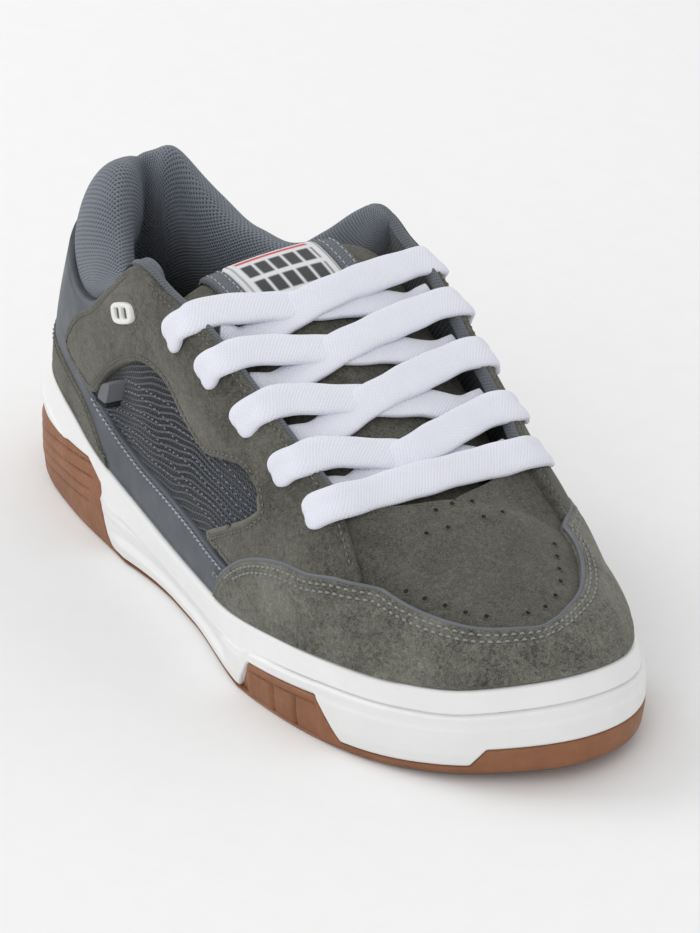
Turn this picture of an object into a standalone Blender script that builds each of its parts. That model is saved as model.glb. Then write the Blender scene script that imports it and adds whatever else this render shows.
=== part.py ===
"""Low skateboarding shoe for the right foot, built as an assembly of separate solids.

Frame: +X points to the toe, +Y to the inner (medial) side of the foot, +Z up.
The origin is on the floor, under the middle of the sole's bounding box.
All sizes are in metres. Tables hold shares of the named sizes above them.
"""

import bmesh
import bpy
import numpy as np
from mathutils import Vector
from mathutils.geometry import delaunay_2d_cdt

# Sides of the foot, as the sign of Y
LATERAL = -1
MEDIAL = 1

# Driving sizes of the sole
SOLE_LENGTH = 0.300
SOLE_WIDTH = 0.112
RIM_HEIGHT = 0.038
FLOOR_HEIGHT = 0.024
TOE_SPRING = 0.006
RIM_WALL = 0.0056
RIM_LEAN = 0.0040
BAND_HEIGHT = 0.0078
BAND_STEP = 0.0008
WAIST_RECESS = 0.0020
WAIST_UNDERCUT = 0.0040
GUM_WALL = 0.0022
GUM_FILLET = 0.0025
GUM_EDGE_HEIGHT = 0.0026
HEEL_GUM_HEIGHT = 0.0243
SIDE_GUM_HEIGHT = 0.0155
TOE_GUM_HEIGHT = 0.0090
INSOLE_THICKNESS = 0.0040

# Driving sizes of the upper
PEAK_HEIGHT = 0.113
UPPER_WALL = 0.0022
OVERLAY_THICKNESS = 0.0013

# Clearance between neighbouring solids
GAP = 0.0003

# Plan of the sole: share of the length from the heel, then half widths as shares of half the sole's width
SOLE_PLAN = (
    # along, lateral, medial
    (0.000, 0.02, -0.02),
    (0.020, 0.35, 0.37),
    (0.085, 0.62, 0.64),
    (0.190, 0.745, 0.73),
    (0.340, 0.81, 0.71),
    (0.490, 0.91, 0.80),
    (0.620, 1.00, 0.96),
    (0.730, 0.98, 1.00),
    (0.840, 0.84, 0.94),
    (0.925, 0.57, 0.75),
    (0.980, 0.20, 0.47),
    (1.000, -0.12, 0.12),
)

# Heights along the sole, each a share of its named size
SOLE_HEIGHTS = (
    # along, rim, floor, underside
    (0.00, 0.97, 1.00, 0.00),
    (0.10, 0.96, 1.00, 0.00),
    (0.16, 0.87, 0.99, 0.00),
    (0.25, 0.68, 0.84, 0.00),
    (0.35, 0.57, 0.66, 0.00),
    (0.47, 0.52, 0.56, 0.00),
    (0.60, 0.55, 0.54, 0.00),
    (0.72, 0.66, 0.55, 0.00),
    (0.80, 0.72, 0.56, 0.02),
    (0.88, 0.75, 0.59, 0.18),
    (0.94, 0.79, 0.63, 0.50),
    (0.98, 0.87, 0.68, 0.80),
    (1.00, 0.92, 0.72, 1.00),
)

# Where the gum outsole climbs the side wall: place along, and share of that stretch's named height
HEEL_GUM = {
    LATERAL: ((0.000, 1.00), (0.225, 1.00), (0.264, 0.77), (0.300, 0.00)),
    MEDIAL: ((0.000, 1.00), (0.225, 1.00), (0.264, 0.77), (0.300, 0.00)),
}
SIDE_GUM = {
    LATERAL: ((0.650, 0.00), (0.668, 0.76), (0.783, 1.00), (0.818, 0.00)),
    MEDIAL: ((0.650, 0.00), (0.818, 0.00)),
}
TOE_GUM = {
    LATERAL: ((0.945, 0.00), (0.956, 0.90), (1.000, 1.00)),
    MEDIAL: ((0.830, 0.00), (0.860, 0.85), (1.000, 1.00)),
}

# Sections of the upper, one row for each place along the sole. The top of a section is the edge of the collar or
# of the throat, then the back edge of the vamp, then the ridge over the toes. lift and out place the lower handle
# of the section's curve, reach and drop the upper one (out, reach and drop in metres). ridge is 1 where the two
# sides meet.
UPPER_SECTIONS = (
    # along, top_along, up, lateral, medial, lift, out, reach, drop, ridge
    (0.000, 0.068, 0.805, -0.04, 0.04, 0.36, -0.0010, 0.0050, 0.0200, 0),
    (0.050, 0.088, 0.790, 0.33, 0.39, 0.36, -0.0010, 0.0050, 0.0200, 0),
    (0.110, 0.128, 0.745, 0.50, 0.56, 0.36, -0.0010, 0.0040, 0.0180, 0),
    (0.190, 0.190, 0.700, 0.61, 0.63, 0.38, 0.0000, 0.0030, 0.0140, 0),
    (0.245, 0.243, 0.735, 0.67, 0.67, 0.40, 0.0010, 0.0010, 0.0160, 0),
    (0.300, 0.300, 0.850, 0.72, 0.73, 0.40, 0.0020, 0.0000, 0.0200, 0),
    (0.367, 0.372, 0.985, 0.765, 0.80, 0.38, 0.0020, 0.0020, 0.0260, 0),
    (0.440, 0.433, 0.955, 0.74, 0.79, 0.40, 0.0010, 0.0040, 0.0170, 0),
    (0.520, 0.500, 0.905, 0.70, 0.77, 0.44, 0.0005, 0.0070, 0.0110, 0),
    (0.620, 0.600, 0.770, 0.63, 0.71, 0.50, 0.0000, 0.0090, 0.0090, 0),
    (0.700, 0.690, 0.655, 0.58, 0.65, 0.50, 0.0000, 0.0090, 0.0090, 0),
    (0.745, 0.727, 0.610, 0.54, 0.58, 0.50, 0.0000, 0.0120, 0.0070, 0),
    (0.790, 0.747, 0.595, 0.30, 0.34, 0.50, 0.0000, 0.0190, 0.0030, 0.6),
    (0.834, 0.760, 0.585, -0.05, 0.05, 0.50, 0.0000, 0.0230, 0.0000, 1),
    (0.900, 0.805, 0.540, -0.04, 0.04, 0.52, 0.0000, 0.0210, 0.0000, 1),
    (0.950, 0.855, 0.487, -0.02, 0.02, 0.54, 0.0000, 0.0170, 0.0000, 1),
    (0.980, 0.890, 0.447, -0.01, 0.01, 0.58, 0.0000, 0.0130, 0.0000, 1),
    (1.000, 0.910, 0.425, 0.00, 0.00, 0.58, 0.0000, 0.0110, 0.0000, 1),
)
RIDGE_FROM = 0.834
RIM_SHARE = 0.14
FEATHER_INSET = RIM_WALL + 3 * GAP
UPPER_STATIONS = 31
UPPER_RISES = (0.0, RIM_SHARE, 0.25, 0.37, 0.49, 0.61, 0.73, 0.84, 0.93, 1.0)

# Outlines of the overlays on one side of the upper, as places along the sole and rises up the section
FOOT = 0.155
EYESTAY_FRONT = {
    LATERAL: ((0.764, 0.840), (0.806, 0.560), (0.774, 0.530), (0.708, 0.480)),
    MEDIAL: ((0.764, 0.850), (0.810, 0.610), (0.774, 0.570), (0.708, 0.495)),
}
EYESTAY_OUTLINE = (
    (0.648, 0.365), (0.612, 0.295),
    (0.552, 0.290), (0.544, 0.300), (0.592, 0.375), (0.632, 0.465), (0.652, 0.560), (0.644, 0.630),
    (0.618, 0.655), (0.582, 0.590), (0.548, 0.535), (0.516, 0.545), (0.484, 0.580), (0.446, 0.650),
    (0.396, 0.665), (0.336, 0.635), (0.286, 0.580), (0.240, 0.460), (0.228, 0.440), (0.194, 0.460),
    (0.152, 0.465), (0.138, 0.550), (0.168, 0.760), (0.214, 0.945), (0.274, 1.000), (0.324, 1.000),
    (0.368, 1.000), (0.500, 1.000), (0.620, 1.000), (0.738, 1.000),
)
QUARTER_OUTLINE = (
    (0.004, 0.420), (0.040, 0.380), (0.088, 0.365), (0.130, 0.370), (0.206, 0.345), (0.240, 0.260),
    (0.270, FOOT), (0.420, FOOT), (0.560, FOOT), (0.578, 0.210), (0.604, 0.275), (0.552, 0.290),
    (0.484, 0.280), (0.424, 0.290), (0.362, 0.295), (0.318, 0.320), (0.276, 0.365), (0.238, 0.425),
    (0.194, 0.460), (0.152, 0.465), (0.138, 0.550), (0.168, 0.760), (0.214, 0.945), (0.274, 1.000),
    (0.180, 1.000), (0.090, 1.000), (0.004, 1.000),
)
HEEL_COUNTER_OUTLINE = (
    (0.000, 1.000), (0.004, 1.000), (0.004, 0.420), (0.040, 0.380), (0.088, 0.365), (0.130, 0.370),
    (0.206, 0.345), (0.240, 0.260), (0.270, FOOT), (0.130, FOOT), (0.000, FOOT),
)
TOE_CAP_OUTLINE = (
    (0.560, FOOT), (0.578, 0.210), (0.606, 0.275), (0.648, 0.365), (0.708, 0.480), (0.774, 0.530),
    (0.816, 0.500), (0.876, 0.480), (0.922, 0.495), (0.956, 0.545), (0.985, 0.680), (1.000, 0.780),
    (1.000, FOOT), (0.900, FOOT), (0.750, FOOT),
)
TOE_CAP_MEDIAL_OUTLINE = (
    (0.560, FOOT), (0.578, 0.210), (0.606, 0.275), (0.648, 0.365), (0.708, 0.495), (0.774, 0.570),
    (0.826, 0.570), (0.878, 0.545), (0.930, 0.575), (0.956, 0.610), (0.985, 0.710), (1.000, 0.780),
)
SIDE_TAB_OUTLINE = ((0.268, 0.470), (0.297, 0.555), (0.333, 0.535), (0.301, 0.437))
VENT_PLACE = (0.340, 0.830)
VENT_LENGTH = 0.0200
VENT_HEIGHT = 0.0072
VENT_SLOPE = 22.0
VENT_CORNER = 0.0030
VENT_HOLE = (0.0052, 0.0036)
VENT_HOLE_SPREAD = 0.0037
SEAM = 0.0004

# The padded collar: its crest against places along the sole, and how deep the lining reaches into the shoe
COLLAR_SECTIONS = (
    # along, crest_along, up, lateral, medial, half thickness, lowest rise
    (0.000, 0.102, 0.975, -0.04, 0.04, 0.0090, 0.34),
    (0.050, 0.117, 0.965, 0.15, 0.19, 0.0090, 0.34),
    (0.110, 0.150, 0.925, 0.29, 0.31, 0.0088, 0.34),
    (0.190, 0.200, 0.830, 0.43, 0.46, 0.0085, 0.34),
    (0.245, 0.248, 0.790, 0.55, 0.57, 0.0075, 0.34),
    (0.300, 0.305, 0.850, 0.65, 0.67, 0.0060, 0.36),
    (0.367, 0.373, 1.005, 0.725, 0.760, 0.0035, 0.55),
    (0.415, 0.413, 0.985, 0.725, 0.770, 0.0022, 0.82),
)
COLLAR_STATIONS = 14

# The tongue, from its foot under the vamp to its free end: place along the sole, height of its crown,
# half widths, thickness, and how far its sides fall below the crown
TONGUE_SECTIONS = (
    # along, up, lateral, medial, thickness, fall
    (0.785, 0.525, 0.36, 0.42, 0.0025, 0.0040),
    (0.765, 0.545, 0.42, 0.48, 0.0030, 0.0045),
    (0.740, 0.560, 0.48, 0.54, 0.0040, 0.0050),
    (0.710, 0.605, 0.52, 0.58, 0.0070, 0.0065),
    (0.660, 0.680, 0.56, 0.62, 0.0090, 0.0075),
    (0.600, 0.765, 0.60, 0.66, 0.0100, 0.0080),
    (0.550, 0.830, 0.61, 0.67, 0.0100, 0.0080),
    (0.500, 0.885, 0.61, 0.67, 0.0110, 0.0070),
    (0.460, 0.920, 0.62, 0.68, 0.0120, 0.0050),
    (0.425, 0.938, 0.63, 0.69, 0.0130, 0.0040),
    (0.400, 0.940, 0.61, 0.67, 0.0120, 0.0040),
    (0.387, 0.925, 0.57, 0.63, 0.0090, 0.0035),
    (0.381, 0.900, 0.52, 0.58, 0.0040, 0.0030),
)
TONGUE_LEAN = 0.0025
LABEL_LENGTH = 0.0250
LABEL_WIDTH = 0.0340
LABEL_THICKNESS = 0.0012
LABEL_ALONG = 0.432

# The lace: rows of eyelets from the ankle to the toes, each a place along the sole and a rise, and how much
# farther along the lace crosses the throat's edge
EYELET_ROWS = (
    (0.456, 0.800, 0.030),
    (0.532, 0.770, 0.012),
    (0.598, 0.750, 0.000),
    (0.656, 0.740, 0.000),
    (0.714, 0.740, 0.004),
)
LACE_WIDTH = 0.0125
LACE_THICKNESS = 0.0044
LACE_SINK = 0.0009


def smooth(rows, column, places):
    """Reads a column of a table along a smooth curve: cubic pieces that share their slopes at the rows."""
    xs = np.array([row[0] for row in rows], float)
    ys = np.array([row[column] for row in rows], float)
    places = np.asarray(places, float)
    widths = np.diff(xs)
    grades = np.diff(ys) / widths
    slopes = np.empty_like(ys)
    slopes[1:-1] = (grades[:-1] * widths[1:] + grades[1:] * widths[:-1]) / (widths[:-1] + widths[1:])
    slopes[0], slopes[-1] = 1.5 * grades[0] - 0.5 * slopes[1], 1.5 * grades[-1] - 0.5 * slopes[-2]
    at = np.clip(np.searchsorted(xs, places, side="right") - 1, 0, len(xs) - 2)
    t = np.clip((places - xs[at]) / widths[at], 0, 1)
    return (
        ys[at] * (1 + 2 * t) * (1 - t) ** 2
        + slopes[at] * widths[at] * t * (1 - t) ** 2
        + ys[at + 1] * t**2 * (3 - 2 * t)
        + slopes[at + 1] * widths[at] * t**2 * (t - 1)
    )


def angle(along):
    """The place along the sole as an angle, so that a plan smooth in it has round ends."""
    return np.arccos(1 - 2 * np.clip(along, 0, 1))


def by_angle(rows):
    return tuple((float(angle(row[0])), *row[1:]) for row in rows)


PLAN_BY_ANGLE = by_angle(SOLE_PLAN)
SECTIONS_BY_ANGLE = by_angle(UPPER_SECTIONS)


def plan_point(along, side, inset=0.0):
    """Point of the sole's outline in plan, moved inwards by the inset, and the outward direction there."""
    turn = angle(along)
    step = 1e-4
    before, after = np.clip(turn - step, 0, np.pi), np.clip(turn + step, 0, np.pi)
    column = np.where(side == LATERAL, 1, 2)

    def half_width(at):
        lateral = smooth(PLAN_BY_ANGLE, 1, at)
        medial = smooth(PLAN_BY_ANGLE, 2, at)
        return np.where(column == 1, -lateral, medial) * SOLE_WIDTH / 2

    x = (np.asarray(along) - 0.5) * SOLE_LENGTH
    y = half_width(turn)
    slope_x = 0.5 * SOLE_LENGTH * np.sin(turn)
    slope_y = (half_width(after) - half_width(before)) / (after - before)
    size = np.hypot(slope_x, slope_y)
    out = np.stack([-side * slope_y / size, side * slope_x / size], -1)
    return np.stack([x, y], -1) - out * np.asarray(inset)[..., None], out


def rim_height(along):
    return smooth(SOLE_HEIGHTS, 1, along) * RIM_HEIGHT


def floor_height(along):
    return smooth(SOLE_HEIGHTS, 2, along) * FLOOR_HEIGHT


def underside_height(along):
    return np.maximum(smooth(SOLE_HEIGHTS, 3, along), 0) * TOE_SPRING


def top_point(along, side):
    """Top of the upper's section: the collar's or throat's edge, the vamp's back edge, or the ridge over the toes."""
    turn = angle(along)
    x = (smooth(SECTIONS_BY_ANGLE, 1, turn) - 0.5) * SOLE_LENGTH
    z = smooth(SECTIONS_BY_ANGLE, 2, turn) * PEAK_HEIGHT
    lateral = -smooth(SECTIONS_BY_ANGLE, 3, turn)
    medial = smooth(SECTIONS_BY_ANGLE, 4, turn)
    lateral, medial = (np.where(turn < angle(RIDGE_FROM), own, (lateral + medial) / 2) for own in (lateral, medial))
    return np.stack([x, np.where(side == LATERAL, lateral, medial) * SOLE_WIDTH / 2, z], -1)


def upper_point(along, side, rise):
    """Point on the upper's outer face. rise runs from 0 at the sole's floor to 1 at the top of the section:
    straight up inside the rim, then a cubic curve with one handle at each end."""
    along, side, rise = np.broadcast_arrays(np.asarray(along, float), np.asarray(side), np.asarray(rise, float))
    turn = angle(along)
    foot, out = plan_point(along, side, np.full(along.shape, FEATHER_INSET))
    low, rim = floor_height(along) + GAP, rim_height(along) + GAP
    top = top_point(along, side)
    lift, push, reach, drop, ridge = (smooth(SECTIONS_BY_ANGLE, c, turn) for c in (5, 6, 7, 8, 9))
    ridge = np.clip(ridge, 0, 1)
    near = 1e-3
    ahead, behind = top_point(np.clip(along + near, 0, 1), side), top_point(np.clip(along - near, 0, 1), side)
    run = ahead[..., 0] - behind[..., 0]
    grade = (ahead[..., 2] - behind[..., 2]) / np.maximum(run, 1e-6)
    tall = top[..., 2] - rim
    start = np.concatenate([foot, rim[..., None]], -1)
    first = start + np.concatenate([out * push[..., None], (lift * tall)[..., None]], -1)
    aim = foot - top[..., :2] + 0.02 * out
    aim /= np.linalg.norm(aim, axis=-1, keepdims=True)
    back = aim * reach[..., None]
    second = top + np.concatenate([back, (ridge * grade * back[..., 0] - drop)[..., None]], -1)
    t = np.clip((rise - RIM_SHARE) / (1 - RIM_SHARE), 0, 1)[..., None]
    curve = (1 - t) ** 3 * start + 3 * t * (1 - t) ** 2 * first + 3 * t**2 * (1 - t) * second + t**3 * top
    wall = np.concatenate([foot, (low + (rim - low) * np.clip(rise / RIM_SHARE, 0, 1))[..., None]], -1)
    return np.where((rise < RIM_SHARE)[..., None], wall, curve)


def upper_normal(along, side, rise):
    """Outward direction of the upper's outer face, from two short steps across it. Steps past the heel or the toe
    go on up the other side."""
    turn, step = angle(along), 0.02
    places = []
    for at in (turn - step, turn + step):
        other = (at < 0) | (at > np.pi)
        at = np.where(at > np.pi, 2 * np.pi - at, np.abs(at))
        places.append(upper_point((1 - np.cos(at)) / 2, np.where(other, -np.asarray(side), side), np.minimum(rise, 0.98)))
    near = 2e-3
    lifted = np.maximum(rise, RIM_SHARE + near)
    up = upper_point(along, side, np.clip(lifted + near, 0, 1)) - upper_point(along, side, lifted - near)
    out = np.cross(up, places[1] - places[0]) * np.asarray(side)[..., None]
    return out / np.linalg.norm(out, axis=-1, keepdims=True)


def material(name, colour, roughness, metallic=0.0):
    made = bpy.data.materials.new(name)
    made.use_nodes = True
    shader = made.node_tree.nodes["Principled BSDF"]
    shader.inputs["Base Color"].default_value = (*colour, 1)
    shader.inputs["Roughness"].default_value = roughness
    shader.inputs["Metallic"].default_value = metallic
    return made


def add_solid(name, points, faces, finish):
    """A closed solid from points and faces, its doubled points made one and its faces turned outwards."""
    mesh = bpy.data.meshes.new(name)
    mesh.from_pydata([tuple(map(float, p)) for p in points], [], faces)
    work = bmesh.new()
    work.from_mesh(mesh)
    bmesh.ops.remove_doubles(work, verts=work.verts, dist=1e-6)
    bmesh.ops.dissolve_degenerate(work, edges=work.edges, dist=1e-7)
    bmesh.ops.recalc_face_normals(work, faces=work.faces)
    work.to_mesh(mesh)
    work.free()
    mesh.shade_smooth()
    mesh.set_sharp_from_angle(angle=0.7)
    made = bpy.data.objects.new(name, mesh)
    mesh.materials.append(finish)
    bpy.context.scene.collection.objects.link(made)
    return made


def between(first, second, count):
    """Quads between two rings of points that start at these indices."""
    return [(first + i, first + (i + 1) % count, second + (i + 1) % count, second + i) for i in range(count)]


def halved(quads):
    """Two triangles for each quad, all cut along the same diagonal."""
    return [half for a, b, c, d in quads for half in ((a, b, c), (a, c, d))]


def halved_alike(quads):
    """Two triangles for each quad of a ring that runs up the lateral side and back, cut alike on both sides."""
    half = len(quads) // 2
    return halved(quads[:half]) + halved([(b, c, d, a) for a, b, c, d in quads[half:]])


def ladder(first, count):
    """Cap of a ring whose points pair up across the sole, lateral with medial."""
    half = count // 2
    rungs = [(first + i, first + i + 1, first + count - i - 1, first + count - i) for i in range(1, half - 1)]
    ends = [
        (first, first + 1, first + count - 1),
        (first + half - 1, first + half, first + half + 1),
    ]
    return rungs + ends


def sole_stations():
    """Places along the sole: closer together at the round ends, and one at each step of the gum's edge."""
    even = (1 - np.cos(np.linspace(0, np.pi, 33))) / 2
    steps = [row[0] for table in (HEEL_GUM, SIDE_GUM, TOE_GUM) for side in table for row in table[side]]
    kept = [a for a in even if min(abs(a - s) for s in steps) > 0.006]
    return np.array(sorted(set(kept) | set(steps)))


def loop_of(stations):
    """Runs from the heel up the lateral side to the toe and back down the medial side."""
    along = np.concatenate([stations, stations[-2:0:-1]])
    side = np.concatenate([np.full(len(stations), LATERAL), np.full(len(stations) - 2, MEDIAL)])
    return along, side


def gum_height(along, side):
    """Height of the line where the gum outsole meets the white side wall."""
    height = np.full(len(along), GUM_EDGE_HEIGHT)
    for table, full in ((HEEL_GUM, HEEL_GUM_HEIGHT), (SIDE_GUM, SIDE_GUM_HEIGHT), (TOE_GUM, TOE_GUM_HEIGHT)):
        for which in (LATERAL, MEDIAL):
            places, shares = zip(*table[which])
            inside = (side == which) & (along >= places[0]) & (along <= places[-1])
            raised = GUM_EDGE_HEIGHT + np.interp(along, places, shares) * (full - GUM_EDGE_HEIGHT)
            height = np.where(inside, np.maximum(height, raised), height)
    return height + underside_height(along)


def ring(along, side, inset, height):
    flat, _ = plan_point(along, side, np.broadcast_to(np.asarray(inset, float), along.shape))
    return np.column_stack([flat, np.broadcast_to(height, along.shape)])


def waist(along):
    """How far into the hollow of the waist a place is, from 0 to 1."""
    return np.clip(smooth(((0.33, 0.0), (0.40, 0.8), (0.50, 1.0), (0.58, 0.6), (0.64, 0.0)), 1, along), 0, 1) * (
        (along > 0.33) & (along < 0.64)
    )


def side_inset(along, share):
    """Inset of the side wall at a share of its height: widest low down, leaning in to the rim, hollow at the waist."""
    lean = np.interp(share, (0.0, 0.06, 0.25, 0.55, 1.0), (0.0018, 0.0008, 0.0, 0.0, RIM_LEAN))
    hollow = np.interp(share, (0.1, 0.3, 0.55, 0.75), (0.3, 1.0, 1.0, 0.0))
    under = WAIST_UNDERCUT * np.interp(share, (0.0, 0.6), (1.0, 0.0))
    return lean + (WAIST_RECESS * hollow + under) * waist(along)


def build_outsole(finish):
    along, side = loop_of(sole_stations())
    under, rim = underside_height(along), rim_height(along)
    edge = gum_height(along, side)
    share = (edge - under) / (rim - under)
    slab = under + GUM_EDGE_HEIGHT
    rings = [
        ring(along, side, side_inset(along, share) + GUM_WALL + GUM_FILLET, slab),
        ring(along, side, side_inset(along, share) + GUM_WALL - GAP, edge),
        ring(along, side, side_inset(along, share), edge),
        ring(along, side, side_inset(along, 0.06), under + 0.0012),
        ring(along, side, side_inset(along, 0.0) + 0.0006, under),
    ]
    return build_rings("outsole", rings, finish)


def build_rings(name, rings, finish):
    count = len(rings[0])
    faces = ladder(0, count)
    for i in range(len(rings) - 1):
        faces += halved(between(i * count, (i + 1) * count, count))
    faces += ladder((len(rings) - 1) * count, count)
    return add_solid(name, np.vstack(rings), faces, finish)


def build_midsole(finish):
    along, side = loop_of(sole_stations())
    under, rim = underside_height(along), rim_height(along)
    edge = gum_height(along, side)
    share = (edge - under) / (rim - under)
    edge, slab = edge + GAP, under + GUM_EDGE_HEIGHT + GAP
    step = rim - BAND_HEIGHT
    middle = np.minimum(edge + 0.35 * (step - edge), step - 0.001)
    rings = [
        ring(along, side, side_inset(along, share) + GUM_WALL + GAP + GUM_FILLET, slab),
        ring(along, side, side_inset(along, share) + GUM_WALL, edge),
        ring(along, side, side_inset(along, share), edge),
        ring(along, side, side_inset(along, (middle - under) / (rim - under)), middle),
        ring(along, side, side_inset(along, 0.6), np.maximum(step - 0.0005, middle + 0.0003)),
        ring(along, side, side_inset(along, 0.6) + BAND_STEP, step + 0.0003),
        ring(along, side, RIM_LEAN * 0.75, rim - 0.0018),
        ring(along, side, RIM_LEAN + 0.0004, rim),
        ring(along, side, RIM_WALL, rim),
        ring(along, side, RIM_WALL, floor_height(along)),
    ]
    return build_rings("midsole", rings, finish)


def build_insole(finish):
    along, side = loop_of((1 - np.cos(np.linspace(0, np.pi, 25))) / 2)
    inset = FEATHER_INSET + UPPER_WALL + GAP
    low = floor_height(along) + GAP
    rings = [
        ring(along, side, inset, low),
        ring(along, side, inset, low + INSOLE_THICKNESS - 0.001),
        ring(along, side, inset + 0.0015, low + INSOLE_THICKNESS),
    ]
    return build_rings("insole", rings, finish)


def build_upper(finish):
    """One hollow wall: outer face, inner face, and the rims that join them at the sole and at the opening."""
    stations = (1 - np.cos(np.linspace(0, np.pi, UPPER_STATIONS))) / 2
    along, side = loop_of(stations)
    count = len(along)
    closed = along >= RIDGE_FROM
    outer, inner = [], []
    for rise in UPPER_RISES:
        level = np.full(count, rise)
        points = upper_point(along, side, level)
        normals = upper_normal(along, side, level)
        if rise == 1.0:
            mirror = (count - np.arange(count)) % count
            normals = np.where(closed[:, None], normals + normals[mirror], normals)
            normals /= np.linalg.norm(normals, axis=1, keepdims=True)
        outer.append(points)
        inner.append(points - normals * UPPER_WALL)
    levels = len(UPPER_RISES)
    points = np.vstack(outer + inner)
    faces = []
    for i in range(levels - 1):
        faces += halved_alike(between(i * count, (i + 1) * count, count))
        faces += halved_alike(between((levels + i) * count, (levels + i + 1) * count, count))
    faces += between(0, levels * count, count)
    for i in range(count):
        if not (closed[i] and closed[(i + 1) % count]):
            faces += [
                (
                    (levels - 1) * count + i,
                    (levels - 1) * count + (i + 1) % count,
                    (2 * levels - 1) * count + (i + 1) % count,
                    (2 * levels - 1) * count + i,
                )
            ]
    return add_solid("upper", points, faces, finish)


def chart(side, along):
    """Place round the shoe as one number: 0 at the heel, 1 at the toe up the lateral side, and back down to -1 or
    up to 2 on the medial side. It is even in the plan's angle, so the round ends aren't squeezed."""
    return angle(along) / np.pi * np.where(np.asarray(side) == LATERAL, 1, -1)


def unchart(place):
    place = np.asarray(place, float)
    place = np.where(place > 1, place - 2, place)
    along = (1 - np.cos(np.pi * np.abs(place))) / 2
    return along, np.where(place < 0, MEDIAL, LATERAL)


def shrink(outline, amount):
    """Outline of (along, rise) points moved inwards by about this many metres, so neighbours keep a seam apart."""
    scale = np.array([SOLE_LENGTH, 0.085])
    points = np.array(outline) * scale
    before, after = np.roll(points, 1, 0), np.roll(points, -1, 0)
    area = np.sum(points[:, 0] * after[:, 1] - after[:, 0] * points[:, 1])
    ahead = (after - points) / np.linalg.norm(after - points, axis=1, keepdims=True)
    behind = (points - before) / np.linalg.norm(points - before, axis=1, keepdims=True)
    inward = [np.column_stack([-edge[:, 1], edge[:, 0]]) * np.sign(area) for edge in (ahead, behind)]
    middle = inward[0] + inward[1]
    middle /= np.maximum(np.sum(middle * inward[0], axis=1, keepdims=True), 0.6)
    return (points + middle * amount) / scale


def cells_inside(outline, columns, rows):
    """Parts of an outline in the chart, cut along these columns and rows: places, and faces as lists of indices."""
    left, right = min(p[0] for p in outline) - 0.05, max(p[0] for p in outline) + 0.05
    turn = sum(a[0] * b[1] - b[0] * a[1] for a, b in zip(outline, outline[1:] + outline[:1]))
    outline = outline if turn > 0 else outline[::-1]
    places = [Vector((float(x), float(y))) for x, y in outline]
    edges = []
    for c in columns:
        if left < c < right:
            edges.append((len(places), len(places) + 1))
            places += [Vector((c, -0.1)), Vector((c, 1.1))]
    for r in rows:
        edges.append((len(places), len(places) + 1))
        places += [Vector((left, r)), Vector((right, r))]
    corners = list(range(len(outline)))
    made, _, faces, _, _, origin = delaunay_2d_cdt(places, edges, [corners], 4, 1e-6)
    inside = [face for face, source in zip(faces, origin) if source]
    used = sorted({i for face in inside for i in face})
    index = {old: new for new, old in enumerate(used)}
    return [tuple(made[i]) for i in used], [[index[i] for i in face] for face in inside]


def drape(name, outline, lift, thickness, finish):
    """Overlay that lies on the upper: an outline in the chart, cut along the upper's own lines so that its facets
    follow the facets below, with an inner face, an outer face and edges between them."""
    columns = [i / (UPPER_STATIONS - 1) for i in range(-UPPER_STATIONS + 1, 2 * UPPER_STATIONS - 1)]
    flat, faces = cells_inside(outline, columns, UPPER_RISES[1:])
    along, side = unchart([p[0] for p in flat])
    rise = np.array([p[1] for p in flat])
    points, normals = upper_point(along, side, rise), upper_normal(along, side, rise)
    count = len(flat)
    edges = {}
    for face in faces:
        for a, b in zip(face, face[1:] + face[:1]):
            edges[(a, b)] = edges.get((a, b), 0) + 1
    rims = [(a, b) for a, b in edges if (b, a) not in edges]
    solid = [face for face in faces] + [[count + i for i in reversed(face)] for face in faces]
    solid += [(b, a, count + a, count + b) for a, b in rims]
    return add_solid(name, np.vstack([points + normals * (lift + thickness), points + normals * lift]), solid, finish)


def on_side(outline, side):
    return [(float(chart(side, along)), float(rise)) for along, rise in outline]


LIFT = 0.0006


def build_overlays(suede, leather, plastic, tab_finish):
    for side, label in ((LATERAL, "lateral"), (MEDIAL, "medial")):
        for name, outline, finish in (
            ("eyestay", EYESTAY_OUTLINE + EYESTAY_FRONT[side], suede),
            ("quarter", QUARTER_OUTLINE, leather),
        ):
            shape = on_side(shrink(outline, SEAM), side)
            drape(name + "_" + label, shape, LIFT, OVERLAY_THICKNESS, finish)
        build_vent(side, "vent_" + label, plastic)
    foot = ((1.000, FOOT), (0.900, FOOT), (0.750, FOOT))
    drape("toe_cap", joined(TOE_CAP_OUTLINE, TOE_CAP_MEDIAL_OUTLINE + foot, 1), LIFT, OVERLAY_THICKNESS, suede)
    drape("heel_counter", joined(HEEL_COUNTER_OUTLINE, HEEL_COUNTER_OUTLINE, 0), LIFT, OVERLAY_THICKNESS, suede)
    drape("side_tab", on_side(SIDE_TAB_OUTLINE, LATERAL), LIFT, 0.0016, tab_finish)


def joined(lateral, medial, end):
    """Chart outline round the heel (end 0) or the toe (end 1), from one outline for each side. Each has two points
    on the middle line there."""
    halves = []
    for outline, side in ((lateral, LATERAL), (medial, MEDIAL)):
        inner = [(end if row[0] == end else p[0], p[1]) for row, p in zip(outline, shrink(outline, SEAM))]
        ends = [i for i, row in enumerate(outline) if row[0] == end]
        start = ends[1] if ends[1] - ends[0] == 1 else ends[0]
        inner = inner[start:] + inner[:start]
        places = on_side(inner, LATERAL)
        halves.append(places if side == LATERAL else [(2 * end - c, r) for c, r in places])
    return halves[0] + halves[1][::-1][1:-1]


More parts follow.
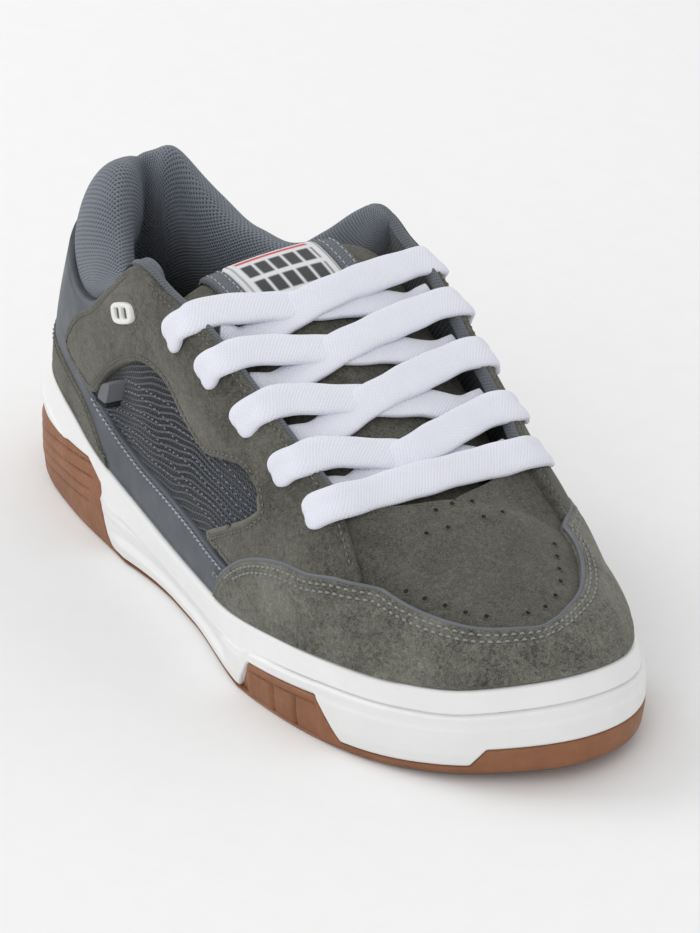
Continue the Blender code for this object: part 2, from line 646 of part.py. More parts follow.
def build_vent(side, name, finish):
    """Rounded plastic plate with two square holes, flat on the ankle panel."""
    along, rise = np.array([VENT_PLACE[0]]), np.array([VENT_PLACE[1]])
    which = np.array([side])
    middle, out = upper_point(along, which, rise)[0], upper_normal(along, which, rise)[0]
    tilt = np.radians(VENT_SLOPE)
    run = np.array([np.cos(tilt), 0, np.sin(tilt)])
    run -= out * (run @ out)
    run /= np.linalg.norm(run)
    up = np.cross(out, run) * -side
    loops = []
    for centre, (long, tall), corner in (
        (0.0, (VENT_LENGTH, VENT_HEIGHT), VENT_CORNER),
        (-VENT_HOLE_SPREAD, VENT_HOLE, 0.0),
        (VENT_HOLE_SPREAD, VENT_HOLE, 0.0),
    ):
        turns = np.radians((0, 30, 60, 90)) if corner else np.array([0.0])
        loop = []
        for quarter in range(4):
            turn = turns + quarter * np.pi / 2
            x = np.sign(np.cos(quarter * np.pi / 2 + 0.1)) * (long / 2 - corner) + corner * np.cos(turn)
            y = np.sign(np.sin(quarter * np.pi / 2 + 0.1)) * (tall / 2 - corner) + corner * np.sin(turn)
            loop += [(centre + a, b) for a, b in zip(x, y)]
        loops.append(loop)
    low, high = LIFT + OVERLAY_THICKNESS + 0.0006, LIFT + OVERLAY_THICKNESS + 0.0022
    work = bmesh.new()
    for height in (low, high):
        edges = []
        for loop in loops:
            made = [work.verts.new(middle + run * x + up * y + out * height) for x, y in loop]
            edges += [work.edges.new((a, b)) for a, b in zip(made, made[1:] + made[:1])]
        bmesh.ops.triangle_fill(work, use_beauty=True, edges=edges)
    work.verts.ensure_lookup_table()
    total = sum(len(loop) for loop in loops)
    start = 0
    for loop in loops:
        for i in range(len(loop)):
            j = (i + 1) % len(loop)
            work.faces.new([work.verts[k] for k in (start + i, start + j, total + start + j, total + start + i)])
        start += len(loop)
    bmesh.ops.recalc_face_normals(work, faces=work.faces)
    mesh = bpy.data.meshes.new(name)
    work.to_mesh(mesh)
    work.free()
    mesh.materials.append(finish)
    bpy.context.scene.collection.objects.link(bpy.data.objects.new(name, mesh))


def arc(first, first_handle, second_handle, last, shares):
    t = np.asarray(shares)[:, None, None]
    return (
        (1 - t) ** 3 * first + 3 * t * (1 - t) ** 2 * first_handle + 3 * t**2 * (1 - t) * second_handle + t**3 * last
    )


def build_collar(finish):
    """Padded cuff: a closed section swept round the opening, from one end of the throat to the other."""
    table = by_angle(COLLAR_SECTIONS)
    turns = np.linspace(0, np.pi, UPPER_STATIONS)[: COLLAR_STATIONS]
    turn = np.concatenate([turns[::-1], turns[1:]])
    along = (1 - np.cos(turn)) / 2
    side = np.concatenate([np.full(COLLAR_STATIONS, LATERAL), np.full(COLLAR_STATIONS - 1, MEDIAL)])
    x = (smooth(table, 1, turn) - 0.5) * SOLE_LENGTH
    y = np.where(side == LATERAL, -smooth(table, 3, turn), smooth(table, 4, turn)) * SOLE_WIDTH / 2
    crest = np.column_stack([x, y, smooth(table, 2, turn) * PEAK_HEIGHT])
    half, deep = smooth(table, 5, turn)[:, None], smooth(table, 6, turn)
    edge = top_point(along, side)
    crest[:, 2] = np.maximum(crest[:, 2], edge[:, 2] + 0.002)
    run = np.gradient(edge[:, :2], axis=0)
    out = np.column_stack([-run[:, 1], run[:, 0], np.zeros(len(run))])
    out /= np.linalg.norm(out, axis=1, keepdims=True)
    out *= np.sign(np.sum(out[:, :2] * (edge[:, :2] - np.array([-0.06, 0.0])), axis=1))[:, None]
    up = np.array([0.0, 0.0, 1.0])
    clear = GAP + 0.0002
    tall = (crest[:, 2:] - edge[:, 2:])
    start = edge + up * clear - out * clear
    outer = arc(
        start,
        start + up * tall * 0.4 + out * half * 0.15,
        crest + out * half * 0.85 - up * half * 0.1,
        crest,
        (0.0, 0.25, 0.5, 0.75, 1.0),
    )
    levels = [deep + (1 - deep) * share for share in (0.0, 0.3, 0.6, 0.85, 1.0)]
    wall = []
    for level in levels:
        normal = upper_normal(along, side, level)
        wall.append(upper_point(along, side, level) - normal * (UPPER_WALL + clear))
    wall[-1] = wall[-1] + up * clear
    foot = wall[0] - out * 0.0022
    depth = crest[:, 2:] - foot[:, 2:]
    inner = arc(
        crest,
        crest - out * half * 1.2 - up * half * 0.05,
        np.minimum(crest - out * half * 1.1 - up * depth * 0.55, np.inf),
        foot,
        (0.14, 0.32, 0.52, 0.75, 1.0),
    )
    rings = list(outer) + list(inner) + wall
    points = np.stack(rings, 1)
    stations, count = points.shape[:2]
    faces = []
    for i in range(stations - 1):
        faces += between(i * count, (i + 1) * count, count)
    faces += [list(range(count)), list(range((stations - 1) * count, stations * count))]
    return add_solid("collar_lining", points.reshape(-1, 3), faces, finish)


TONGUE_SHARES = (0.0, 0.26, 0.50, 0.72, 0.90, 1.0)


def tongue_surface(along, across):
    """Top of the tongue at a place along the sole; across runs from -1 at its lateral side to 1 at its medial."""
    rows = TONGUE_SECTIONS[::-1]
    up, lateral, medial, fall = (smooth(rows, c, along) for c in (1, 2, 3, 5))
    y = np.where(across < 0, across * lateral, across * medial) * SOLE_WIDTH / 2
    lean = TONGUE_LEAN * np.interp(along, (0.4, 0.6), (1.0, 0.0))
    z = up * PEAK_HEIGHT - fall * np.abs(across) ** 2.2 + lean * (across + 0.5)
    return np.stack([(along - 0.5) * SOLE_LENGTH, y, z], -1)


def build_tongue(finish):
    places = np.array([row[0] for row in TONGUE_SECTIONS])
    middle = np.sort(np.concatenate([places, (places[3:8] + places[4:9]) / 2]))[::-1]
    across = np.concatenate([-np.array(TONGUE_SHARES[:0:-1]), TONGUE_SHARES])
    thickness = smooth(TONGUE_SECTIONS[::-1], 4, middle)
    points = []
    for place, thick in zip(middle, thickness):
        top = tongue_surface(np.full(len(across), place), across)
        bottom = top - np.array([0.0, 0.0, 1.0]) * (thick * (0.35 + 0.65 * (1 - np.abs(across) ** 2)))[:, None]
        points.append(np.vstack([top, bottom[::-1]]))
    points = np.array(points)
    stations, count = points.shape[:2]
    faces = []
    for i in range(stations - 1):
        faces += between(i * count, (i + 1) * count, count)
    for first in (0, (stations - 1) * count):
        faces += [(first + i, first + i + 1, first + count - 2 - i, first + count - 1 - i) for i in range(len(across) - 1)]
    return add_solid("tongue", points.reshape(-1, 3), faces, finish)


def build_label(finish):
    """Woven label on the tongue: a thin plate on its crown."""
    rows = np.linspace(LABEL_ALONG + LABEL_LENGTH / SOLE_LENGTH / 2, LABEL_ALONG - LABEL_LENGTH / SOLE_LENGTH / 2, 6)
    reach = LABEL_WIDTH / SOLE_WIDTH / 0.65
    across = np.linspace(-reach, reach, 7)
    along, where = np.meshgrid(rows, across, indexing="ij")
    grid = tongue_surface(along, where)
    low = grid + np.array([0, 0, 2 * GAP])
    high = low + np.array([0, 0, LABEL_THICKNESS])
    return add_grid("tongue_label", high, low, finish)


def add_grid(name, high, low, finish):
    rows, columns = high.shape[:2]
    count = rows * columns
    at = lambda i, j: i * columns + j
    faces = []
    for i in range(rows - 1):
        for j in range(columns - 1):
            quad = (at(i, j), at(i + 1, j), at(i + 1, j + 1), at(i, j + 1))
            faces += [quad, tuple(count + k for k in reversed(quad))]
    rim = [at(i, 0) for i in range(rows)] + [at(rows - 1, j) for j in range(1, columns)]
    rim += [at(i, columns - 1) for i in range(rows - 2, -1, -1)] + [at(0, j) for j in range(columns - 2, 0, -1)]
    faces += [(a, b, count + b, count + a) for a, b in zip(rim, rim[1:] + rim[:1])]
    return add_solid(name, np.vstack([high.reshape(-1, 3), low.reshape(-1, 3)]), faces, finish)


def spline(points, steps):
    """Smooth curve through points given as rows, with this many steps between each two."""
    points = np.asarray(points, float)
    padded = np.vstack([2 * points[0] - points[1], points, 2 * points[-1] - points[-2]])
    t = np.linspace(0, 1, steps, endpoint=False)[:, None]
    made = []
    for a, b, c, d in zip(padded, padded[1:], padded[2:], padded[3:]):
        made.append(0.5 * (2 * b + (c - a) * t + (2 * a - 5 * b + 4 * c - d) * t**2 + (3 * b - a - 3 * c + d) * t**3))
    return np.vstack(made + [points[-1:]])


def tongue_top(x, y):
    """Height of the tongue's top face, or of the label on it, at a place in plan."""
    along = x / SOLE_LENGTH + 0.5
    rows = TONGUE_SECTIONS[::-1]
    half = smooth(rows, 2 if y < 0 else 3, np.array([along]))[0] * SOLE_WIDTH / 2
    height = tongue_surface(np.array([along]), np.array([np.clip(y / half, -1, 1)]))[0, 2]
    return height + (LABEL_THICKNESS + 2 * GAP) * np.interp(along, (0.47, 0.52), (1.0, 0.0))


def tongue_look(x, y):
    """Direction that the tongue's top face looks at a place in plan."""
    step = 0.003
    look = np.array([
        (tongue_top(x - step, y) - tongue_top(x + step, y)) / 2 / step,
        (tongue_top(x, y - step) - tongue_top(x, y + step)) / 2 / step,
        1.0,
    ])
    return look / np.linalg.norm(look)


def on_panel(row, side, share, lift):
    """Point over the panel between a row's eyelet (share 0) and the throat's edge (share 1), and the way it looks."""
    place, low, slant = EYELET_ROWS[row]
    along, which, level = np.array([place + slant * share]), np.array([side]), np.array([low + share * (1 - low)])
    normal = upper_normal(along, which, level)[0]
    return upper_point(along, which, level)[0] + normal * lift, normal


def fold(row, side):
    """Stretch of lace from the eyelet over the throat's edge: points and the directions that its flat face looks."""
    lift = LIFT + OVERLAY_THICKNESS + GAP + LACE_THICKNESS / 2
    made = [on_panel(row, side, share, lift) for share in (0.0, 0.45, 0.85)]
    edge, normal = on_panel(row, side, 1.0, 0.0)
    look = tongue_look(edge[0], 0.0)
    corner = (normal + look) / np.linalg.norm(normal + look)
    made.append((edge + corner * (lift + GAP), corner))
    return made + [(edge + look * (lift - 0.0004) + np.array([0.0, -side * 0.008, 0.0]), look)]


def strand(first, last, side, raised):
    """Lace from the eyelet where it folds, straight to the tongue's crown, then down its slope to the place where
    it dives under the other edge."""
    start = fold(first, side)
    under, normal = on_panel(last, -side, 0.8, -(UPPER_WALL + 2 * GAP + LACE_THICKNESS / 2))
    here, there = start[-1][0], on_panel(last, -side, 1.0, 0.0)[0]
    points = list(start)
    for share in (0.5, 0.72, 0.88):
        x, y = here[:2] + (np.array([there[0], there[1] * 0.9]) - here[:2]) * share
        look = tongue_look(x, y)
        over = LACE_THICKNESS / 2 + 2 * GAP + raised * np.exp(-(((share - 0.5) / 0.2) ** 2))
        points.append((np.array([x, y, tongue_top(x, y)]) + look * over, look))
    return points + [(under, normal)]


def bar(row):
    left, right = fold(row, LATERAL), fold(row, MEDIAL)
    first, last = left[-1], right[-1]
    middle = [(first[0] + (last[0] - first[0]) * share + 0.0006 * first[1], first[1]) for share in (0.33, 0.67)]
    return left + middle + right[::-1]


LACE_SECTION = ((1.0, 0.0), (0.7, 0.95), (-0.7, 0.95), (-1.0, 0.0), (-0.7, -0.95), (0.7, -0.95))


def lace_solid(name, route, finish):
    points, looks = spline([p for p, _ in route], 2), spline([n for _, n in route], 2)
    run = np.gradient(points, axis=0)
    run /= np.linalg.norm(run, axis=1, keepdims=True)
    across = np.cross(run, looks)
    across /= np.linalg.norm(across, axis=1, keepdims=True)
    out = np.cross(across, run)
    size = np.ones(len(points))
    size[0] = size[-1] = 0.55
    rings = np.array([
        [p + (a * u * LACE_WIDTH + o * v * LACE_THICKNESS) / 2 * k for u, v in LACE_SECTION]
        for p, a, o, k in zip(points, across, out, size)
    ])
    stations, count = rings.shape[:2]
    faces = [list(range(count)), list(range((stations - 1) * count, stations * count))]
    for i in range(stations - 1):
        faces += between(i * count, (i + 1) * count, count)
    return add_solid(name, rings.reshape(-1, 3), faces, finish)


def build_laces(finish):
    """A bar over the row next to the toes and four pairs of crossing strands, joined in one solid."""
    last = len(EYELET_ROWS) - 1
    pieces = [lace_solid("laces", bar(last), finish)]
    for row in range(last):
        pieces.append(lace_solid("lace_under", strand(row, row + 1, LATERAL, 0.0), finish))
        pieces.append(lace_solid("lace_over", strand(row, row + 1, MEDIAL, LACE_THICKNESS - LACE_SINK), finish))
    whole = pieces[0]
    for piece in pieces[1:]:
        join = whole.modifiers.new(piece.name, "BOOLEAN")
        join.operation, join.solver, join.object = "UNION", "MANIFOLD", piece
    graph = bpy.context.evaluated_depsgraph_get()
    joined_mesh = bpy.data.meshes.new_from_object(whole.evaluated_get(graph))
    whole.modifiers.clear()
    whole.data = joined_mesh
    for piece in pieces[1:]:
        bpy.data.objects.remove(piece)
    return whole


def main():
    for old in list(bpy.data.objects):
        bpy.data.objects.remove(old)
    gum = material("gum_rubber", (0.42, 0.19, 0.09), 0.6)
    white = material("white_rubber", (0.82, 0.82, 0.79), 0.45)
    suede = material("suede", (0.13, 0.125, 0.095), 0.95)
    leather = material("leather", (0.09, 0.11, 0.135), 0.55)
    mesh = material("mesh", (0.03, 0.033, 0.04), 0.85)
    lining = material("lining", (0.13, 0.14, 0.16), 0.9)
    plastic = material("white_plastic", (0.8, 0.8, 0.78), 0.4)
    woven = material("woven_label", (0.85, 0.85, 0.85), 0.8)
    black = material("black_woven", (0.01, 0.01, 0.012), 0.8)
    cotton = material("lace_cotton", (0.86, 0.86, 0.9), 0.9)
    build_outsole(gum)
    build_midsole(white)
    build_insole(lining)
    build_upper(mesh)
    build_overlays(suede, leather, plastic, black)
    build_collar(lining)
    build_tongue(suede)
    build_label(woven)
    build_laces(cotton)


if __name__ == "__main__":
    main()
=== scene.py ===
# %% [markdown]
# # A skateboarding shoe, dressed
# The shoe is a right shoe that stands on its cupsole. +X points to the toe, +Y to the inner side of the foot and +Z
# up, in metres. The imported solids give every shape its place. This lesson lays finer surfaces over them: each one is
# a function of a place round the shoe and a rise up its side, so that panels, seams and cords all agree on where the
# foot is. Meshes drawn by hand would also do, but then each seam would have to be fitted by eye.

import bpy
import numpy as np
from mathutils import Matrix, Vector
from mathutils.geometry import delaunay_2d_cdt


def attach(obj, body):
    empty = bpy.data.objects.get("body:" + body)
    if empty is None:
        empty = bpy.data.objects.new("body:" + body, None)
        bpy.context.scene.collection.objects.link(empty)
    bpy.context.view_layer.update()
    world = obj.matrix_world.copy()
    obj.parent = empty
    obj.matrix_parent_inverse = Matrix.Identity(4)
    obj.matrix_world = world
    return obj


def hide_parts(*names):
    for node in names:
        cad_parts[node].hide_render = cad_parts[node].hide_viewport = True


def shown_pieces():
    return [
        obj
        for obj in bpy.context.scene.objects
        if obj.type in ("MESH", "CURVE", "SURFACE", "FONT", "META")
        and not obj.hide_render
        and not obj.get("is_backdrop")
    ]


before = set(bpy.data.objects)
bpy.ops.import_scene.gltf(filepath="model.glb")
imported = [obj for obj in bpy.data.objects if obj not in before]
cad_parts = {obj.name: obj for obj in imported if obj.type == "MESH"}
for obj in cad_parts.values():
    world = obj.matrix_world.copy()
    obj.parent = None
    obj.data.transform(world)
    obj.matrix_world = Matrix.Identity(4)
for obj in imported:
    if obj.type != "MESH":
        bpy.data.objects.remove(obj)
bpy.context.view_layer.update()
print("solids:", ", ".join(sorted(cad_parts)))

# %% [markdown]
# ## The sizes of the shoe
# A maker starts from the last, the foot-shaped form that a shoe is built on. Its plan, its heights and its sections
# are short tables of shares of a few named sizes. A smooth curve is read through each column, so the surface can be
# asked for a point anywhere.

# %% Named sizes
LATERAL, MEDIAL = -1, 1
SIDES = ((LATERAL, "lateral"), (MEDIAL, "medial"))
SOLE_LENGTH, SOLE_WIDTH = 0.300, 0.112
RIM_HEIGHT, FLOOR_HEIGHT, TOE_SPRING = 0.038, 0.024, 0.006
RIM_WALL, RIM_LEAN, BAND_HEIGHT, BAND_STEP = 0.0056, 0.0040, 0.0078, 0.0008
RIM_ROUND, TREAD_ROUND, INSOLE_ROUND = 0.0018, 0.0012, 0.0012
WAIST_RECESS, WAIST_UNDERCUT, WAIST_SETBACK = 0.0020, 0.0040, 0.0016
GUM_WALL, GUM_FILLET, GUM_EDGE_HEIGHT = 0.0022, 0.0025, 0.0026
HEEL_GUM_HEIGHT, SIDE_GUM_HEIGHT, TOE_GUM_HEIGHT = 0.0243, 0.0155, 0.0090
INSOLE_THICKNESS, PEAK_HEIGHT, UPPER_WALL = 0.0040, 0.113, 0.0022
OVERLAY_THICKNESS, LIFT, GAP = 0.0013, 0.0006, 0.0003
RIDGE_FROM, RIM_SHARE, FOOT = 0.834, 0.14, 0.138
FEATHER_INSET = RIM_WALL + 3 * GAP

# %% Plan and heights of the sole
SOLE_PLAN = (
    # along, lateral, medial
    (0.000, 0.02, -0.02),
    (0.020, 0.35, 0.37),
    (0.085, 0.62, 0.64),
    (0.190, 0.745, 0.73),
    (0.340, 0.81, 0.71),
    (0.490, 0.91, 0.80),
    (0.620, 1.00, 0.96),
    (0.730, 0.98, 1.00),
    (0.840, 0.84, 0.94),
    (0.925, 0.57, 0.75),
    (0.980, 0.20, 0.47),
    (1.000, -0.12, 0.12),
)
SOLE_HEIGHTS = (
    # along, rim, floor, underside
    (0.00, 0.97, 1.00, 0.00),
    (0.10, 0.96, 1.00, 0.00),
    (0.16, 0.87, 0.99, 0.00),
    (0.25, 0.68, 0.84, 0.00),
    (0.35, 0.57, 0.66, 0.00),
    (0.47, 0.52, 0.56, 0.00),
    (0.60, 0.55, 0.54, 0.00),
    (0.72, 0.66, 0.55, 0.00),
    (0.80, 0.72, 0.56, 0.02),
    (0.88, 0.75, 0.59, 0.18),
    (0.94, 0.79, 0.63, 0.50),
    (0.98, 0.87, 0.68, 0.80),
    (1.00, 0.92, 0.72, 1.00),
)
HEEL_GUM = {side: ((0.000, 1.00), (0.225, 1.00), (0.264, 0.77), (0.300, 0.00)) for side in (LATERAL, MEDIAL)}
SIDE_GUM = {
    LATERAL: ((0.650, 0.00), (0.668, 0.76), (0.783, 1.00), (0.818, 0.00)),
    MEDIAL: ((0.650, 0.00), (0.818, 0.00)),
}
TOE_GUM = {
    LATERAL: ((0.945, 0.00), (0.956, 0.90), (1.000, 1.00)),
    MEDIAL: ((0.830, 0.00), (0.860, 0.85), (1.000, 1.00)),
}

# %% Sections of the upper
UPPER_SECTIONS = (
    # along, top_along, up, lateral, medial, lift, out, reach, drop, ridge
    (0.000, 0.068, 0.805, -0.04, 0.04, 0.36, -0.0010, 0.0050, 0.0200, 0),
    (0.050, 0.088, 0.790, 0.33, 0.39, 0.36, -0.0010, 0.0050, 0.0200, 0),
    (0.110, 0.128, 0.745, 0.50, 0.56, 0.36, -0.0010, 0.0040, 0.0180, 0),
    (0.190, 0.190, 0.700, 0.61, 0.63, 0.38, 0.0000, 0.0030, 0.0140, 0),
    (0.245, 0.243, 0.735, 0.67, 0.67, 0.40, 0.0010, 0.0010, 0.0160, 0),
    (0.300, 0.300, 0.850, 0.72, 0.73, 0.40, 0.0020, 0.0000, 0.0200, 0),
    (0.367, 0.372, 0.985, 0.765, 0.80, 0.38, 0.0020, 0.0020, 0.0260, 0),
    (0.440, 0.433, 0.955, 0.74, 0.79, 0.40, 0.0010, 0.0040, 0.0170, 0),
    (0.520, 0.500, 0.905, 0.70, 0.77, 0.44, 0.0005, 0.0070, 0.0110, 0),
    (0.620, 0.600, 0.770, 0.63, 0.71, 0.50, 0.0000, 0.0090, 0.0090, 0),
    (0.700, 0.690, 0.655, 0.58, 0.65, 0.50, 0.0000, 0.0090, 0.0090, 0),
    (0.745, 0.727, 0.610, 0.54, 0.58, 0.50, 0.0000, 0.0120, 0.0070, 0),
    (0.790, 0.747, 0.595, 0.30, 0.34, 0.50, 0.0000, 0.0190, 0.0030, 0.6),
    (0.834, 0.760, 0.585, -0.05, 0.05, 0.50, 0.0000, 0.0230, 0.0000, 1),
    (0.900, 0.805, 0.540, -0.04, 0.04, 0.52, 0.0000, 0.0210, 0.0000, 1),
    (0.950, 0.855, 0.487, -0.02, 0.02, 0.54, 0.0000, 0.0170, 0.0000, 1),
    (0.980, 0.890, 0.447, -0.01, 0.01, 0.58, 0.0000, 0.0130, 0.0000, 1),
    (1.000, 0.910, 0.425, 0.00, 0.00, 0.58, 0.0000, 0.0110, 0.0000, 1),
)
COLLAR_SECTIONS = (
    # along, crest_along, up, lateral, medial, half thickness, lowest rise
    (0.000, 0.102, 0.975, -0.04, 0.04, 0.0090, 0.34),
    (0.050, 0.117, 0.965, 0.15, 0.19, 0.0090, 0.34),
    (0.110, 0.150, 0.925, 0.29, 0.31, 0.0088, 0.34),
    (0.190, 0.200, 0.830, 0.43, 0.46, 0.0085, 0.34),
    (0.245, 0.248, 0.790, 0.55, 0.57, 0.0075, 0.34),
    (0.300, 0.305, 0.850, 0.65, 0.67, 0.0060, 0.36),
    (0.367, 0.373, 1.005, 0.725, 0.760, 0.0035, 0.55),
    (0.415, 0.413, 0.985, 0.725, 0.770, 0.0022, 0.82),
)
TONGUE_SECTIONS = (
    # along, up, lateral, medial, thickness, fall
    (0.785, 0.525, 0.36, 0.42, 0.0025, 0.0040),
    (0.765, 0.545, 0.42, 0.48, 0.0030, 0.0045),
    (0.740, 0.560, 0.48, 0.54, 0.0040, 0.0050),
    (0.710, 0.605, 0.52, 0.58, 0.0070, 0.0065),
    (0.660, 0.680, 0.56, 0.62, 0.0090, 0.0075),
    (0.600, 0.765, 0.60, 0.66, 0.0100, 0.0080),
    (0.550, 0.830, 0.61, 0.67, 0.0100, 0.0080),
    (0.500, 0.885, 0.61, 0.67, 0.0110, 0.0070),
    (0.460, 0.920, 0.62, 0.68, 0.0120, 0.0050),
    (0.425, 0.938, 0.63, 0.69, 0.0130, 0.0040),
    (0.400, 0.940, 0.61, 0.67, 0.0120, 0.0040),
    (0.387, 0.925, 0.57, 0.63, 0.0090, 0.0035),
    (0.381, 0.900, 0.52, 0.58, 0.0040, 0.0030),
)
TONGUE_LEAN = 0.0025
LABEL_LENGTH, LABEL_WIDTH, LABEL_THICKNESS, LABEL_ALONG = 0.0250, 0.0340, 0.0012, 0.432
EYELET_ROWS = (
    # along, rise, slant
    (0.456, 0.800, 0.040),
    (0.532, 0.770, 0.028),
    (0.598, 0.750, 0.022),
    (0.656, 0.740, 0.024),
    (0.714, 0.740, 0.030),
)
LACE_WIDTH, LACE_THICKNESS, LACE_SINK = 0.0120, 0.0029, 0.0008


# %% Smooth curves through the tables
def smooth(rows, column, places):
    """Column of a table read along a smooth curve: cubic pieces that share their slopes at the rows."""
    xs = np.array([row[0] for row in rows], float)
    ys = np.array([row[column] for row in rows], float)
    places = np.asarray(places, float)
    widths = np.diff(xs)
    grades = np.diff(ys) / widths
    slopes = np.empty_like(ys)
    slopes[1:-1] = (grades[:-1] * widths[1:] + grades[1:] * widths[:-1]) / (widths[:-1] + widths[1:])
    slopes[0], slopes[-1] = 1.5 * grades[0] - 0.5 * slopes[1], 1.5 * grades[-1] - 0.5 * slopes[-2]
    at = np.clip(np.searchsorted(xs, places, side="right") - 1, 0, len(xs) - 2)
    t = np.clip((places - xs[at]) / widths[at], 0, 1)
    return (
        ys[at] * (1 + 2 * t) * (1 - t) ** 2
        + slopes[at] * widths[at] * t * (1 - t) ** 2
        + ys[at + 1] * t**2 * (3 - 2 * t)
        + slopes[at + 1] * widths[at] * t**2 * (t - 1)
    )


def angle(along):
    """Place along the sole as an angle, so that a plan smooth in it has round ends."""
    return np.arccos(1 - 2 * np.clip(along, 0, 1))


def by_angle(rows):
    return tuple((float(angle(row[0])), *row[1:]) for row in rows)


def ease(x):
    """0 below 0, 1 above 1, and 3x^2 - 2x^3 between them."""
    x = np.clip(x, 0, 1)
    return x * x * (3 - 2 * x)


def bell(x, middle, width):
    """1 at the middle, fading on both sides as a bell curve of this width."""
    return np.exp(-(((x - middle) / width) ** 2))


def squared(wave, power):
    """Sine or cosine values raised to a power with their signs kept: under 1 it fills a round section out."""
    return np.sign(wave) * np.abs(wave) ** power


def unit(vectors):
    return vectors / np.maximum(np.linalg.norm(vectors, axis=-1, keepdims=True), 1e-12)


def run_length(points):
    """Length of a line of points from its start to each of them."""
    return np.concatenate([[0], np.cumsum(np.linalg.norm(np.diff(points, axis=0), axis=1))])


PLAN_BY_ANGLE = by_angle(SOLE_PLAN)
SECTIONS_BY_ANGLE = by_angle(UPPER_SECTIONS)
TONGUE_ROWS = TONGUE_SECTIONS[::-1]


# %% The sole's outline and heights
def plan_point(along, side, inset=0.0):
    """Point of the sole's outline in plan, moved inwards by the inset, and the outward direction there."""
    turn = angle(along)
    before, after = np.clip(turn - 1e-4, 0, np.pi), np.clip(turn + 1e-4, 0, np.pi)

    def half_width(at):
        return np.where(side == LATERAL, -smooth(PLAN_BY_ANGLE, 1, at), smooth(PLAN_BY_ANGLE, 2, at)) * SOLE_WIDTH / 2

    slope_x = 0.5 * SOLE_LENGTH * np.sin(turn)
    slope_y = (half_width(after) - half_width(before)) / (after - before)
    out = unit(np.stack([-side * slope_y, side * slope_x], -1))
    flat = np.stack([(np.asarray(along) - 0.5) * SOLE_LENGTH, half_width(turn)], -1)
    return flat - out * np.asarray(inset)[..., None], out


def rim_height(along):
    return smooth(SOLE_HEIGHTS, 1, along) * RIM_HEIGHT


def floor_height(along):
    return smooth(SOLE_HEIGHTS, 2, along) * FLOOR_HEIGHT


def underside_height(along):
    return np.maximum(smooth(SOLE_HEIGHTS, 3, along), 0) * TOE_SPRING


# %% The last: a point and its outward direction for any place and rise
def top_point(along, side):
    """Top of a section: the edge of collar or throat, the vamp's back edge, or the ridge over the toes."""
    turn = angle(along)
    x = (smooth(SECTIONS_BY_ANGLE, 1, turn) - 0.5) * SOLE_LENGTH
    z = smooth(SECTIONS_BY_ANGLE, 2, turn) * PEAK_HEIGHT
    lateral, medial = -smooth(SECTIONS_BY_ANGLE, 3, turn), smooth(SECTIONS_BY_ANGLE, 4, turn)
    lateral, medial = (np.where(turn < angle(RIDGE_FROM), own, (lateral + medial) / 2) for own in (lateral, medial))
    return np.stack([x, np.where(side == LATERAL, lateral, medial) * SOLE_WIDTH / 2, z], -1)


def upper_point(along, side, rise):
    """Point on the upper's outer face: straight up inside the rim, then a cubic curve with one handle at each end."""
    along, side, rise = np.broadcast_arrays(np.asarray(along, float), np.asarray(side), np.asarray(rise, float))
    turn = angle(along)
    foot, out = plan_point(along, side, np.full(along.shape, FEATHER_INSET))
    low, rim = floor_height(along) + GAP, rim_height(along) + GAP
    top = top_point(along, side)
    lift, push, reach, drop, ridge = (smooth(SECTIONS_BY_ANGLE, c, turn) for c in (5, 6, 7, 8, 9))
    ridge = np.clip(ridge, 0, 1)
    ahead, behind = top_point(np.clip(along + 1e-3, 0, 1), side), top_point(np.clip(along - 1e-3, 0, 1), side)
    grade = (ahead[..., 2] - behind[..., 2]) / np.maximum(ahead[..., 0] - behind[..., 0], 1e-6)
    tall = top[..., 2] - rim
    start = np.concatenate([foot, rim[..., None]], -1)
    first = start + np.concatenate([out * push[..., None], (lift * tall)[..., None]], -1)
    back = unit(foot - top[..., :2] + 0.02 * out) * reach[..., None]
    second = top + np.concatenate([back, (ridge * grade * back[..., 0] - drop)[..., None]], -1)
    t = np.clip((rise - RIM_SHARE) / (1 - RIM_SHARE), 0, 1)[..., None]
    curve = (1 - t) ** 3 * start + 3 * t * (1 - t) ** 2 * first + 3 * t**2 * (1 - t) * second + t**3 * top
    wall = np.concatenate([foot, (low + (rim - low) * np.clip(rise / RIM_SHARE, 0, 1))[..., None]], -1)
    return np.where((rise < RIM_SHARE)[..., None], wall, curve)


def upper_normal(along, side, rise):
    """Outward direction of the upper: the cross product of a short step round the shoe and one up its side."""
    turn, step = angle(along), 0.02
    places = []
    for at in (turn - step, turn + step):
        other = (at < 0) | (at > np.pi)
        at = np.where(at > np.pi, 2 * np.pi - at, np.abs(at))
        near = np.where(other, -np.asarray(side), side)
        places.append(upper_point((1 - np.cos(at)) / 2, near, np.minimum(rise, 0.98)))
    lifted = np.maximum(rise, RIM_SHARE + 2e-3)
    up = upper_point(along, side, np.clip(lifted + 2e-3, 0, 1)) - upper_point(along, side, lifted - 2e-3)
    return unit(np.cross(up, places[1] - places[0]) * np.asarray(side)[..., None])


def chart(side, along):
    """Place round the shoe as one number: 0 at the heel, 1 at the toe by the lateral side, -1 there by the medial."""
    return angle(along) / np.pi * np.where(np.asarray(side) == LATERAL, 1, -1)


def unchart(place):
    place = np.asarray(place, float)
    place = np.where(place > 1, place - 2, place)
    return (1 - np.cos(np.pi * np.abs(place))) / 2, np.where(place < 0, MEDIAL, LATERAL)


def on_last(flat, lift=0.0):
    """Points over the last for chart places and rises in the two columns of flat, raised along the normals."""
    along, side = unchart(flat[..., 0])
    rise = np.clip(flat[..., 1], 0, 1)
    normals = upper_normal(along, side, rise)
    return upper_point(along, side, rise) + normals * np.asarray(lift)[..., None], normals


